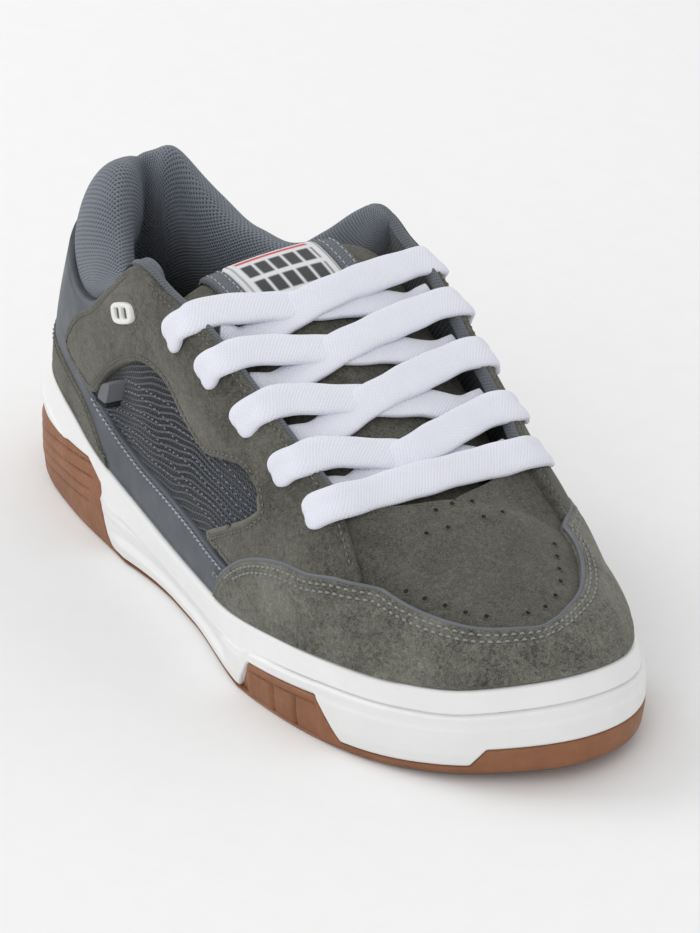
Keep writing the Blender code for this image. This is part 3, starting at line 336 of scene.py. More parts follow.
# %% [markdown]
# ## From grids to pieces
# Every piece here is a grid of points. Four helpers turn grids into meshes: one lists the faces of a grid, one welds
# points that meet, one turns the faces outwards by the sign of the volume they enclose, and one hangs the piece on
# the shoe's single body. Blender could do each step with its own tools, but whole arrays are quicker and repeatable.


# %% Faces of a grid, welding, and hanging a piece on the shoe
def grid_faces(rows, columns, wrap=True):
    """Quads of a grid of rows times columns, its last column joined to its first if wrap is true."""
    i, j = np.meshgrid(np.arange(rows - 1), np.arange(columns if wrap else columns - 1), indexing="ij")
    ahead = (j + 1) % columns
    corners = (i * columns + j, i * columns + ahead, (i + 1) * columns + ahead, (i + 1) * columns + j)
    return np.stack(corners, -1).reshape(-1, 4)


def grid_uv(us, vs):
    """Surface coordinates in metres for each corner of grid_faces: us go along the columns, vs along the rows."""
    i, j = np.meshgrid(np.arange(len(vs) - 1), np.arange(len(us) - 1), indexing="ij")
    corners = [(i, j), (i, j + 1), (i + 1, j + 1), (i + 1, j)]
    return np.stack([np.stack([us[b], vs[a]], -1) for a, b in corners], 2).reshape(-1, 4, 2)


def facing_out(points, quads):
    """Six times the volume inside the quads: the sum of each corner's triple product."""
    a, b, c, d = (points[quads[:, k]] for k in range(4))
    return np.sum(a * np.cross(b, c)) + np.sum(a * np.cross(c, d))


def add_piece(name, points, quads, finish, stands_for=(), slot=None, uv=None, which=None, weld=1e-6):
    """Closed mesh from points and quads. Corners nearer than weld become one, and a quad with two alike is a
    triangle. which gives each quad's place in the list of finishes."""
    points = np.asarray(points, float).reshape(-1, 3)
    quads = np.asarray(quads, int)
    keys = np.round(points / weld).astype(np.int64)
    _, first, back = np.unique(keys, axis=0, return_index=True, return_inverse=True)
    points, quads = points[first], back.reshape(-1)[quads]
    if facing_out(points, quads) < 0:
        quads = quads[:, ::-1]
        uv = None if uv is None else uv[:, ::-1]
    same = quads == np.roll(quads, -1, axis=1)
    whole, cut = same.sum(1) == 0, same.sum(1) == 1
    corners = np.concatenate([quads[whole].ravel(), quads[cut][~same[cut]]])
    sizes = np.concatenate([np.full(whole.sum(), 4), np.full(cut.sum(), 3)])
    mesh = bpy.data.meshes.new(name)
    mesh.vertices.add(len(points))
    mesh.loops.add(len(corners))
    mesh.polygons.add(len(sizes))
    mesh.vertices.foreach_set("co", points.astype(np.float32).ravel())
    mesh.loops.foreach_set("vertex_index", corners.astype(np.int32))
    mesh.polygons.foreach_set("loop_start", (np.cumsum(sizes) - sizes).astype(np.int32))
    for one in finish if isinstance(finish, list) else [finish]:
        mesh.materials.append(one)
    if which is not None:
        order = np.concatenate([which[whole], which[cut]])
        mesh.polygons.foreach_set("material_index", order.astype(np.int32))
    if uv is not None:
        placed = np.concatenate([uv[whole].reshape(-1, 2), uv[cut][~same[cut]]])
        mesh.uv_layers.new(name="UVMap").uv.foreach_set("vector", placed.astype(np.float32).ravel())
    mesh.update(calc_edges=True)
    mesh.validate()
    mesh.shade_smooth()
    mesh.set_sharp_from_angle(angle=np.radians(62))
    piece = bpy.data.objects.new(name, mesh)
    bpy.context.scene.collection.objects.link(piece)
    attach(piece, "root")
    if stands_for:
        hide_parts(*stands_for)
    print(f"{name}: {len(points)} points, {int((sizes - 2).sum())} triangles")
    return piece


def loft(name, rings, finish, ends=True, **how):
    """Closed rings of points one after another; with ends, each end ring is filled from its middle."""
    rings = np.asarray(rings, float)
    if ends:
        first, last = (np.broadcast_to(rings[k].mean(0), (1, *rings[k].shape)) for k in (0, -1))
        rings = np.concatenate([first, rings, last])
    rows, columns = rings.shape[:2]
    run = np.concatenate([[0], np.cumsum(np.linalg.norm(np.diff(rings, axis=0), axis=2).mean(1))])
    middle = rings[rows // 2]
    how.setdefault("uv", grid_uv(run_length(np.concatenate([middle, middle[:1]])), run))
    return add_piece(name, rings, grid_faces(rows, columns), finish, **how)


def many(name, blocks, faces, finish, **how):
    """The same small closed shape many times over: blocks holds the points of each one."""
    count, size = blocks.shape[:2]
    quads = (np.arange(count)[:, None, None] * size + faces[None]).reshape(-1, 4)
    return add_piece(name, blocks.reshape(-1, 3), quads, finish, weld=1e-8, **how)


# %% [markdown]
# ## Finishes
# A material shows what a thing is made of: the nap of brushed suede, the pores of rubber, the loops of a knit. Each
# effect that several finishes share is a node group, built once, with its sizes as inputs. The groups give only
# colours and heights, and the shader itself stays in the material. Patterns read the object's own coordinates in
# metres, or the piece's surface map where a weave has to follow a strip.


# %% Short ways to place nodes
def put(tree, kind, settings=None, **sockets):
    """New node of a kind. A socket is named with _ for a space, or _ and its number, and gets a link or a value."""
    node = tree.nodes.new("ShaderNode" + kind)
    for key, value in (settings or {}).items():
        setattr(node, key, value)
    for key, value in sockets.items():
        socket = node.inputs[int(key[1:])] if key[0] == "_" else node.inputs[key.replace("_", " ")]
        if isinstance(value, bpy.types.NodeSocket):
            tree.links.new(value, socket)
        else:
            socket.default_value = value
    return node


def maths(tree, kind, *values):
    return put(tree, "Math", {"operation": kind}, **{f"_{i}": v for i, v in enumerate(values)}).outputs[0]


def spread(tree, value, low, high, to_low=0.0, to_high=1.0):
    """Value between low and high made one between to_low and to_high, and held there outside."""
    return put(tree, "MapRange", None, _0=value, _1=low, _2=high, _3=to_low, _4=to_high).outputs[0]


def tinted(tree, amount, first, second, kind="MIX"):
    return put(tree, "Mix", {"data_type": "RGBA", "blend_type": kind}, _0=amount, _6=first, _7=second).outputs[2]


def shared(name, inputs, outputs):
    """Empty node group with these named sockets, and its two end nodes."""
    tree = bpy.data.node_groups.new(name, "ShaderNodeTree")
    for label, kind, value in inputs:
        tree.interface.new_socket(label, in_out="INPUT", socket_type="NodeSocket" + kind).default_value = value
    for label, kind in outputs:
        tree.interface.new_socket(label, in_out="OUTPUT", socket_type="NodeSocket" + kind)
    return tree, tree.nodes.new("NodeGroupInput").outputs, tree.nodes.new("NodeGroupOutput").inputs


# %% Brushed nap: soft clouds, short strokes and single fibres
nap, given, made = shared(
    "brushed_nap",
    (("Colour", "Color", (0.1, 0.1, 0.1, 1)), ("Clouds", "Float", 0.3), ("Fibres", "Float", 0.3)),
    (("Colour", "Color"), ("Height", "Float")),
)
here = put(nap, "TexCoord").outputs["Object"]
cloud = put(nap, "TexNoise", None, Vector=here, Scale=55.0, Detail=4.0, Roughness=0.6, Distortion=0.6).outputs[0]
stroke = put(nap, "TexNoise", None, Vector=here, Scale=620.0, Detail=4.0, Roughness=0.65, Distortion=0.8).outputs[0]
slanted = put(nap, "Mapping", None, Vector=here, Rotation=(0.4, 0.3, 0.5), Scale=(1.0, 0.45, 1.0)).outputs[0]
fibre = put(nap, "TexNoise", None, Vector=slanted, Scale=3200.0, Detail=2.0, Roughness=0.7).outputs[0]
shade = maths(nap, "ADD", maths(nap, "MULTIPLY", maths(nap, "SUBTRACT", cloud, 0.5), given["Clouds"]), 1.0)
stroked = maths(nap, "MULTIPLY", given["Clouds"], 1.3)
shade = maths(nap, "MULTIPLY_ADD", maths(nap, "SUBTRACT", stroke, 0.5), stroked, shade)
shade = maths(nap, "MULTIPLY_ADD", maths(nap, "SUBTRACT", fibre, 0.5), given["Fibres"], shade)
grey = put(nap, "CombineColor", None, _0=shade, _1=shade, _2=shade).outputs[0]
nap.links.new(tinted(nap, 1.0, given["Colour"], grey, "MULTIPLY"), made["Colour"])
nap.links.new(maths(nap, "MULTIPLY_ADD", stroke, 0.35, maths(nap, "MULTIPLY", fibre, 0.65)), made["Height"])
print("brushed_nap:", len(nap.nodes), "nodes")

# %% Fine grain: small rounded cells with a little unevenness
grain, given, made = shared(
    "fine_grain", (("Cells", "Float", 900.0), ("Unevenness", "Float", 0.3)), (("Height", "Float"), ("Mottle", "Float"))
)
here = put(grain, "TexCoord").outputs["Object"]
cells = put(grain, "TexVoronoi", {"feature": "F1"}, Vector=here, Scale=given["Cells"], Randomness=1.0)
speck = put(grain, "TexNoise", None, Vector=here, Scale=given["Cells"], Detail=2.0, Roughness=0.6).outputs[0]
mottle = put(grain, "TexNoise", None, Vector=here, Scale=90.0, Detail=5.0, Roughness=0.62).outputs[0]
height = maths(grain, "SUBTRACT", 1.0, maths(grain, "POWER", cells.outputs["Distance"], 1.6))
grain.links.new(maths(grain, "MULTIPLY_ADD", speck, given["Unevenness"], height), made["Height"])
grain.links.new(mottle, made["Mottle"])
print("fine_grain:", len(grain.nodes), "nodes")

# %% Knitted loops: a lattice of small round loops that follows the surface map
knit, given, made = shared(
    "knitted_loops",
    (("Across", "Float", 0.0016), ("Along", "Float", 0.0016), ("Slant", "Float", 0.0)),
    (("Height", "Float"), ("Gap", "Float")),
)
spot = put(knit, "SeparateXYZ", None, Vector=put(knit, "UVMap").outputs[0])
across = maths(knit, "DIVIDE", spot.outputs[0], given["Across"])
along_it = maths(knit, "DIVIDE", spot.outputs[1], given["Along"])
first = maths(knit, "MULTIPLY_ADD", along_it, 1.0, maths(knit, "MULTIPLY", across, given["Slant"]))
turns = [maths(knit, "MULTIPLY", value, 2 * np.pi) for value in (across, first)]
wave = maths(knit, "MULTIPLY", maths(knit, "COSINE", turns[0]), maths(knit, "COSINE", turns[1]))
knit.links.new(spread(knit, wave, -1.0, 1.0), made["Height"])
knit.links.new(spread(knit, wave, -0.2, -0.75), made["Gap"])
print("knitted_loops:", len(knit.nodes), "nodes")


# %% A plain start for a finish
def finish_of(name, colour, roughness, **constants):
    """Material with its own shader; roughness, sheen and other constants are set on the shader's sockets."""
    made = bpy.data.materials.new(name)
    made.use_nodes = True
    tree = made.node_tree
    shader = tree.nodes["Principled BSDF"]
    shader.inputs["Base Color"].default_value = (*colour, 1)
    shader.inputs["Roughness"].default_value = roughness
    for key, value in constants.items():
        shader.inputs[key.replace("_", " ")].default_value = value
    return made, tree, shader


def use(tree, group, **sockets):
    node = tree.nodes.new("ShaderNodeGroup")
    node.node_tree = group
    for key, value in sockets.items():
        if isinstance(value, bpy.types.NodeSocket):
            tree.links.new(value, node.inputs[key])
        else:
            node.inputs[key].default_value = value
    return node.outputs


def raise_by(tree, shader, height, depth):
    """Height in the unit range made a relief of this depth in metres."""
    bump = put(tree, "Bump", None, Strength=1.0, Distance=depth, Height=height)
    tree.links.new(bump.outputs[0], shader.inputs["Normal"])


def brushed(name, colour, clouds=1.5, fibres=2.4, depth=0.00042):
    made, tree, shader = finish_of(name, colour, 0.95, Sheen_Weight=0.25, Sheen_Roughness=0.45, Specular_IOR_Level=0.2)
    shader.inputs["Sheen Tint"].default_value = (0.8, 0.78, 0.7, 1)
    outputs = use(tree, nap, Colour=(*colour, 1), Clouds=clouds, Fibres=fibres)
    tree.links.new(outputs["Colour"], shader.inputs["Base Color"])
    raise_by(tree, shader, outputs["Height"], depth)
    return made


def grained(name, colour, roughness, cells, depth, mottled=0.1, coat=0.0):
    """Smooth skin with a grain: leather, rubber or moulded plastic."""
    made, tree, shader = finish_of(name, colour, roughness, Coat_Weight=coat, Coat_Roughness=0.35)
    outputs = use(tree, grain, Cells=cells, Unevenness=0.4)
    darker, lighter = (tuple(np.clip(np.array(colour) * k, 0, 1)) + (1,) for k in (1 - mottled, 1 + mottled))
    mottled_by = spread(tree, outputs["Mottle"], 0.3, 0.7)
    tree.links.new(tinted(tree, mottled_by, darker, lighter), shader.inputs["Base Color"])
    rough = spread(tree, outputs["Mottle"], 0.3, 0.7, roughness + 0.08, roughness - 0.06)
    tree.links.new(rough, shader.inputs["Roughness"])
    raise_by(tree, shader, outputs["Height"], depth)
    return made


def knitted(name, colour, gap_colour, across, along, depth, slant=0.0, roughness=0.9, sheen=0.2):
    """Textile whose loops follow the piece: raised loops in one colour over gaps in another."""
    made, tree, shader = finish_of(
        name, colour, roughness, Sheen_Weight=sheen, Sheen_Roughness=0.5, Specular_IOR_Level=0.25
    )
    outputs = use(tree, knit, Across=across, Along=along, Slant=slant)
    speck = use(tree, grain, Cells=2600.0, Unevenness=0.8)
    wear = spread(tree, speck["Mottle"], 0.3, 0.7, 0.0, 0.25)
    worn = tinted(tree, wear, (*colour, 1), (*[c * 0.8 for c in colour], 1))
    tree.links.new(tinted(tree, outputs["Gap"], worn, (*gap_colour, 1)), shader.inputs["Base Color"])
    raise_by(tree, shader, maths(tree, "MULTIPLY_ADD", speck["Height"], 0.15, outputs["Height"]), depth)
    return made


# %% The finishes of this shoe
SUEDE_GREY, SKIN_GREY = (0.096, 0.094, 0.079), (0.064, 0.074, 0.090)
suede = brushed("suede", SUEDE_GREY)
vamp_suede = brushed("vamp_suede", tuple(c * 0.97 for c in SUEDE_GREY), clouds=1.1)
# Painted light: the toe cap's suede is the shoe's one suede grey made 1.42 times lighter, for the stronger light on the
# toe.
cap_suede_painted_light = brushed("cap_suede_painted_light", tuple(c * 1.42 for c in SUEDE_GREY), clouds=1.7)
edge_suede = brushed("folded_suede", tuple(c * 1.5 for c in SUEDE_GREY), clouds=0.5, fibres=0.8)
skin = grained("smooth_leather", SKIN_GREY, 0.5, 1500.0, 0.00004)
piping_skin = grained("piping", (0.115, 0.125, 0.140), 0.5, 1500.0, 0.00003)
white_rubber = grained("white_rubber", (0.80, 0.805, 0.80), 0.48, 420.0, 0.00003, mottled=0.02)
gum = grained("gum_rubber", (0.25, 0.100, 0.042), 0.55, 520.0, 0.00016, mottled=0.14)
white_plastic = grained("white_plastic", (0.78, 0.78, 0.76), 0.32, 900.0, 0.00001, mottled=0.02, coat=0.3)
lining_knit = knitted("lining_knit", (0.185, 0.207, 0.245), (0.036, 0.042, 0.054), 0.0016, 0.0017, 0.0005)
window_knit = knitted("window_knit", (0.022, 0.025, 0.031), (0.006, 0.007, 0.009), 0.0016, 0.0016, 0.0004)
cord_thread = knitted("cord_thread", (0.060, 0.068, 0.082), (0.014, 0.016, 0.021), 0.0024, 0.0021, 0.0002, slant=0.8)
# Painted shade: the lining inside the shell and the insole are the collar lining's grey made near black, for the shade
# inside the shoe.
inner_cloth_painted_shade = knitted("inner_cloth_painted_shade", (0.05, 0.055, 0.062), (0.02, 0.022, 0.026), 0.0014, 0.0014, 0.0002)
lace_knit = knitted("lace_knit", (0.80, 0.81, 0.90), (0.70, 0.71, 0.81), 0.0010, 0.0011, 0.00016, slant=0.5, sheen=0.35)
binding_cloth = knitted("binding_cloth", (0.13, 0.142, 0.162), (0.06, 0.067, 0.08), 0.0011, 0.0013, 0.0003, slant=0.5)
pale_thread = grained("pale_thread", (0.36, 0.38, 0.42), 0.7, 2500.0, 0.00005)
cap_thread = grained("cap_thread", (0.24, 0.245, 0.245), 0.7, 2500.0, 0.00005)
fleck_thread = grained("fleck_thread", (0.20, 0.22, 0.27), 0.7, 2500.0, 0.00005)
dull_thread = grained("dull_thread", (0.15, 0.15, 0.14), 0.8, 2500.0, 0.00005)
black_cloth = knitted("black_cloth", (0.014, 0.014, 0.016), (0.004, 0.004, 0.005), 0.0009, 0.0009, 0.0002, sheen=0.0)
tab_cloth = knitted("tab_face_cloth", (0.16, 0.17, 0.18), (0.03, 0.03, 0.035), 0.0013, 0.0016, 0.0002, sheen=0.0)
hole_dark = grained("hole_shadow", (0.012, 0.012, 0.011), 0.95, 900.0, 0.00002)
print("finishes:", len(bpy.data.materials))


# %% [markdown]
# ## The cupsole
# The sole of this shoe is a cup of white rubber with a gum outsole glued under it. The gum climbs the wall at the
# heel, at the outer forefoot and round the toe. Both are walls carried round the plan: a row of the grid is one
# height, and its inset from the outline holds the rim band, the hollow at the waist and every groove. A groove is
# a small dip in the inset, so it is real depth, and not paint.


# %% Places round the sole and the line where gum meets white
def loop_of(stations):
    """Places from the heel up the lateral side to the toe and back down the medial side."""
    along = np.concatenate([stations, stations[-2:0:-1]])
    return along, np.concatenate([np.full(len(stations), LATERAL), np.full(len(stations) - 2, MEDIAL)])


def even_stations(count):
    return (1 - np.cos(np.linspace(0, np.pi, count))) / 2


def stretch(along, start, stop, fade=0.006):
    return ease((along - start) / fade) * ease((stop - along) / fade)


WAIST_SPAN = (0.29, 0.675)


def gum_height(along, side):
    """Height of the line where the gum outsole meets the white side wall."""
    height = GUM_EDGE_HEIGHT - 0.0013 * stretch(along, *WAIST_SPAN, 0.02)
    for table, full in ((HEEL_GUM, HEEL_GUM_HEIGHT), (SIDE_GUM, SIDE_GUM_HEIGHT), (TOE_GUM, TOE_GUM_HEIGHT)):
        for which in (LATERAL, MEDIAL):
            places, shares = zip(*table[which])
            inside = (side == which) & (along >= places[0]) & (along <= places[-1])
            raised = GUM_EDGE_HEIGHT + np.interp(along, places, shares) * (full - GUM_EDGE_HEIGHT)
            height = np.where(inside, np.maximum(height, raised), height)
    return height + underside_height(along)


WAIST_HOLLOW = ((0.33, 0.0), (0.40, 0.8), (0.50, 1.0), (0.58, 0.6), (0.64, 0.0))


def waist(along):
    """How far into the hollow of the waist a place is, from 0 to 1."""
    inside = (along > WAIST_HOLLOW[0][0]) & (along < WAIST_HOLLOW[-1][0])
    return np.clip(smooth(WAIST_HOLLOW, 1, along), 0, 1) * inside


def side_inset(along, share):
    """Inset of the wall at a share of its height: widest low down, leaning in to the rim, hollow at the waist."""
    lean = np.interp(share, (0.0, 0.06, 0.25, 0.55, 1.0), (0.0018, 0.0008, 0.0, 0.0, RIM_LEAN))
    hollow = np.interp(share, (0.1, 0.3, 0.55, 0.75), (0.3, 1.0, 1.0, 0.0))
    return lean + (WAIST_RECESS * hollow + WAIST_UNDERCUT * np.interp(share, (0.0, 0.6), (1.0, 0.0))) * waist(along)


def ring(along, side, inset, height):
    flat, _ = plan_point(along, side, np.broadcast_to(np.asarray(inset, float), along.shape))
    return np.column_stack([flat, np.broadcast_to(height, along.shape)])


# %% The white wall
sole_along, sole_side = loop_of(even_stations(401))
under, rim = underside_height(sole_along), rim_height(sole_along)
gum_line = gum_height(sole_along, sole_side)
step_line = rim - BAND_HEIGHT
on_lateral = sole_side == LATERAL
toe_fade = ease((sole_along - 0.66) / 0.10)
BAND_SHARE, LEAN_BELOW_ROUND, SEAM_ABOVE_STEP, SIDE_SPAN = 0.6, 0.75, 0.0006, (0.668, 0.79)


def white_relief(height):
    """Extra inset of the white wall: the leaf-shaped hollow of the waist, its ridges, and the line round the heel."""
    upper_ridge = np.interp(sole_along, (0.298, 0.45, 0.619), (0.0202, 0.0168, 0.0148))
    lower_ridge = np.interp(sole_along, (0.301, 0.45, 0.59), (0.0061, 0.0042, 0.0045))
    leaf = ease((upper_ridge - height) / 0.0016) * ease((height - lower_ridge) / 0.0030)
    leaf = leaf * stretch(sole_along, 0.288, 0.632, 0.05)
    ribs = 0.5 - 0.5 * np.cos(2 * np.pi * height / 0.0017)
    carved = 0.0015 * leaf
    carved = carved + 0.00045 * bell(height, step_line - 0.0042, 0.0009) * (1 - ease((sole_along - 0.26) / 0.08))
    carved = carved - 0.0005 * bell(height, upper_ridge + 0.0006, 0.0007) * stretch(sole_along, 0.29, 0.63, 0.05)
    return carved + np.where(on_lateral, 0.0, 0.0007) * ribs * leaf


def white_inset(height):
    """Inset of the white wall at a height: its own lean, a rounded step in to the rim band, a fine seam at the toe."""
    share = (height - under) / (rim - under)
    band = ease((height - step_line + 0.0004) / 0.0008)
    lower = side_inset(sole_along, np.minimum(share, BAND_SHARE))
    to_rim = np.clip((height - step_line) / (BAND_HEIGHT - RIM_ROUND), 0, 1)
    below_band = side_inset(sole_along, BAND_SHARE)
    upper_part = below_band + BAND_STEP + (RIM_LEAN * LEAN_BELOW_ROUND - BAND_STEP - below_band) * to_rim
    seam = 0.0012 * bell(height, step_line + SEAM_ABOVE_STEP, 0.00030) * toe_fade
    return lower * (1 - band) + upper_part * band + white_relief(height) * (1 - band) + seam


wall_start = gum_line + GAP
behind_gum = side_inset(sole_along, (gum_line - under) / (rim - under)) + GUM_WALL
white_rings = [
    ring(sole_along, sole_side, behind_gum + GAP + GUM_FILLET, under + GUM_EDGE_HEIGHT + GAP),
    ring(sole_along, sole_side, behind_gum, wall_start),
]
levels = [wall_start + share * (rim - RIM_ROUND - wall_start) for share in np.linspace(0, 1, 60) ** 0.92]
levels += [step_line + SEAM_ABOVE_STEP + off for off in (-0.0006, -0.0003, -0.0001, 0.0001, 0.0003, 0.0006)]
for level in np.maximum(np.sort(levels, axis=0), wall_start):
    lip = 0.0006 * (1 - ease((level - wall_start) / 0.0007))
    white_rings.append(ring(sole_along, sole_side, white_inset(level) + lip, level))
for turn in np.linspace(0, np.pi / 2, 7)[1:]:
    inset = RIM_LEAN * LEAN_BELOW_ROUND + (0.0004 + RIM_LEAN * (1 - LEAN_BELOW_ROUND)) * (1 - np.cos(turn))
    white_rings.append(ring(sole_along, sole_side, inset, rim - RIM_ROUND + RIM_ROUND * np.sin(turn)))
white_rings.append(ring(sole_along, sole_side, RIM_WALL - 0.0003, rim))
for level in (rim - 0.0003, rim - 0.004, floor_height(sole_along)):
    white_rings.append(ring(sole_along, sole_side, RIM_WALL, level))


def across_the_sole(outer_ring, count):
    """Rows that fill a ring: each is the ring drawn in towards the line between its lateral and medial points."""
    partner = (len(outer_ring) - np.arange(len(outer_ring))) % len(outer_ring)
    middle = (outer_ring + outer_ring[partner]) / 2
    return [outer_ring + (middle - outer_ring) * share for share in np.linspace(0, 1, count + 1)[1:]]


cup = across_the_sole(white_rings[0], 3)[::-1] + white_rings + across_the_sole(white_rings[-1], 4)
loft("cupsole_wall", cup, white_rubber, ends=False, stands_for=("midsole",), slot="white_rubber")


# %% The gum outsole
def gum_relief(height):
    """Extra inset of the gum: grooves round the heel, a framed panel in three blocks under a ledge at the outer
    forefoot, and the edge drawn back at the waist."""
    heel = stretch(sole_along, -0.01, 0.255, 0.02)
    lines = sum(bell(height, line + 0.03 * sole_along, 0.00050) for line in (0.0040, 0.0080, 0.0120, 0.0160))
    frame_in = stretch(sole_along, 0.6755, 0.7905, 0.002) * ease((gum_line - 0.0030 - height) / 0.0008) * on_lateral
    cuts = sum(bell(sole_along, place, 0.0020) for place in (0.714, 0.751)) * stretch(sole_along, 0.66, 0.80)
    ledge = bell(height, gum_line - 0.0026, 0.0005) * stretch(sole_along, *SIDE_SPAN) * on_lateral
    relief = 0.0010 * heel * lines + 0.0005 * frame_in + 0.0013 * cuts * on_lateral * (height < gum_line - 0.003)
    return relief + 0.0009 * ledge + WAIST_SETBACK * stretch(sole_along, *WAIST_SPAN, 0.02)


gum_rings = [
    ring(sole_along, sole_side, behind_gum + GUM_FILLET, under + GUM_EDGE_HEIGHT),
    ring(sole_along, sole_side, behind_gum - GAP, gum_line),
]
for share in np.linspace(1, 0, 46):
    level = under + TREAD_ROUND + share * (gum_line - under - TREAD_ROUND)
    top_edge = 0.0005 * (1 - ease((gum_line - level) / 0.0006))
    inset = side_inset(sole_along, (level - under) / (rim - under)) + gum_relief(level) + top_edge
    gum_rings.append(ring(sole_along, sole_side, inset, level))
low_inset = side_inset(sole_along, TREAD_ROUND / (rim - under))
for turn in np.linspace(0, np.pi / 2, 5)[1:]:
    inset, level = low_inset + TREAD_ROUND * (1 - np.cos(turn)), under + TREAD_ROUND * (1 - np.sin(turn))
    gum_rings.append(ring(sole_along, sole_side, inset, level))
tread = across_the_sole(gum_rings[0], 3)[::-1] + gum_rings + across_the_sole(gum_rings[-1], 14)
loft("outsole_gum", tread, gum, ends=False, stands_for=("outsole",), slot="gum_rubber")


# %% [markdown]
# ## The shell of the upper
# Under the panels lies one lasted shell: mesh at the sides, a perforated suede vamp over the toes, suede along its
# foot, and a lining inside. It is a single closed wall with its real thickness. A flat sheet given a Solidify
# modifier would also work, but the two rims, at the sole and at the throat, are easier to close when the inner face
# is a second grid.


# %% Outer and inner face as one wall
def lasting_faults(points):
    """Small unevenness of a lasted upper: a sum of slow waves over its place, under half a millimetre."""
    x, y, z = (points[..., k] for k in range(3))
    return 0.00022 * (np.sin(61 * x + 83 * z) + np.sin(97 * y - 71 * x + 1.3) + 0.6 * np.sin(143 * z + 119 * y + 2.1))


shell_along, shell_side = loop_of(even_stations(221))
closed_over = shell_along >= RIDGE_FROM
opposite = (len(shell_along) - np.arange(len(shell_along))) % len(shell_along)


def shell_rows(rises, depth):
    """Rows of the shell at these rises, each moved inwards by a depth; over the toes both sides share the ridge."""
    rows = []
    for rise in rises:
        level = np.full(len(shell_along), rise)
        points, normals = upper_point(shell_along, shell_side, level), upper_normal(shell_along, shell_side, level)
        if rise > 0.93:
            close = ((rise - 0.93) / 0.07) * closed_over * 0.5
            normals = unit(normals * (1 - close)[:, None] + normals[opposite] * close[:, None])
        drop = depth - lasting_faults(points) * ease((rise - 0.2) / 0.2) * (0 if depth else 1)
        rows.append(points - normals * np.asarray(drop)[..., None])
    return rows


outer_rises = np.concatenate([np.linspace(0, RIM_SHARE, 4), np.linspace(RIM_SHARE, 1, 74)[1:]])
inner_rises = np.linspace(1, 0, 36)
shell = np.array(shell_rows(outer_rises, 0.0) + shell_rows(inner_rises, UPPER_WALL))
shell = np.concatenate([shell, shell[:1]])
shell_faces = grid_faces(*shell.shape[:2])
row_of, column_of = shell_faces[:, 0] // len(shell_along), shell_faces[:, 0] % len(shell_along)
rise_of = np.concatenate([outer_rises, inner_rises, [0]])[row_of]
in_suede = ((shell_along[column_of] > 0.69) & (rise_of > 0.30)) | (rise_of < 0.20)
# The inner faces take the near-black cloth, painted shade for the dark inside the shoe.
part_of = np.where(row_of >= len(outer_rises) - 1, 2, np.where(in_suede, 1, 0))
bridges = closed_over[column_of] & closed_over[(column_of + 1) % len(shell_along)] & (row_of == len(outer_rises) - 1)
shell_uv = grid_uv(np.arange(len(shell_along) + 1) * 0.00165, np.linspace(0, 0.16, len(shell)))
add_piece(
    "upper_shell", shell.reshape(-1, 3), shell_faces[~bridges], [window_knit, vamp_suede, inner_cloth_painted_shade],
    stands_for=("upper",), slot="mesh", uv=shell_uv[~bridges], which=part_of[~bridges],
)

# %% [markdown]
# ## Panels cut from a pattern
# A shoe's panels are cut flat and stitched down. Each panel here is an outline on the same chart as the last, a place
# round the shoe and a rise up its side. It is filled with a fine net of triangles, lifted off the shell by the
# leather's thickness, and rounded down at its edge by the distance to the outline. Shrinkwrap and Solidify could
# drape a drawn sheet, but an outline in the chart keeps neighbouring panels exactly a seam apart.

# %% Outlines of the panels, as places along the sole and rises
EYESTAY_FRONT = {
    LATERAL: ((0.764, 0.840), (0.808, 0.530), (0.806, 0.480), (0.774, 0.480), (0.708, 0.430)),
    MEDIAL: ((0.764, 0.850), (0.812, 0.580), (0.810, 0.530), (0.774, 0.510), (0.708, 0.440)),
}
WINDOW_EDGE = (
    (0.552, 0.290), (0.544, 0.300), (0.592, 0.375), (0.632, 0.465), (0.652, 0.560), (0.644, 0.630), (0.618, 0.655),
    (0.582, 0.590), (0.548, 0.535), (0.516, 0.545), (0.484, 0.580), (0.446, 0.650), (0.396, 0.665), (0.336, 0.635),
    (0.286, 0.580), (0.240, 0.460), (0.228, 0.440),
)
EYESTAY_OUTLINE = (
    (0.654, 0.330), (0.620, 0.265), *WINDOW_EDGE, (0.194, 0.460), (0.152, 0.465), (0.138, 0.550), (0.168, 0.760),
    (0.214, 0.945), (0.274, 1.000), (0.324, 1.000), (0.368, 1.000), (0.500, 1.000), (0.620, 1.000), (0.738, 1.000),
)
QUARTER_OUTLINE = (
    (0.004, 0.370), (0.040, 0.335), (0.088, 0.320), (0.130, 0.325), (0.192, 0.305), (0.224, 0.230), (0.254, FOOT),
    (0.420, FOOT), (0.584, FOOT), (0.602, 0.200), (0.626, 0.248), (0.586, 0.256), (0.544, 0.262), (0.484, 0.278),
    (0.424, 0.290), (0.362, 0.295), (0.318, 0.320), (0.276, 0.365), (0.238, 0.425), (0.214, 0.480), (0.176, 0.500),
    (0.164, 0.560), (0.190, 0.750), (0.236, 0.920), (0.292, 1.000), (0.180, 1.000), (0.090, 1.000), (0.004, 1.000),
)
HEEL_COUNTER_OUTLINE = (
    (0.000, 1.000), (0.004, 1.000), (0.004, 0.420), (0.040, 0.380), (0.088, 0.365), (0.130, 0.370), (0.206, 0.345),
    (0.240, 0.260), (0.270, FOOT), (0.130, FOOT), (0.000, FOOT),
)
TOE_CAP_OUTLINE = (
    (0.560, FOOT), (0.578, 0.210), (0.606, 0.275), (0.648, 0.365), (0.708, 0.480), (0.774, 0.530), (0.816, 0.500),
    (0.876, 0.480), (0.922, 0.495), (0.956, 0.545), (0.985, 0.680), (1.000, 0.780), (1.000, FOOT), (0.900, FOOT),
    (0.750, FOOT),
)
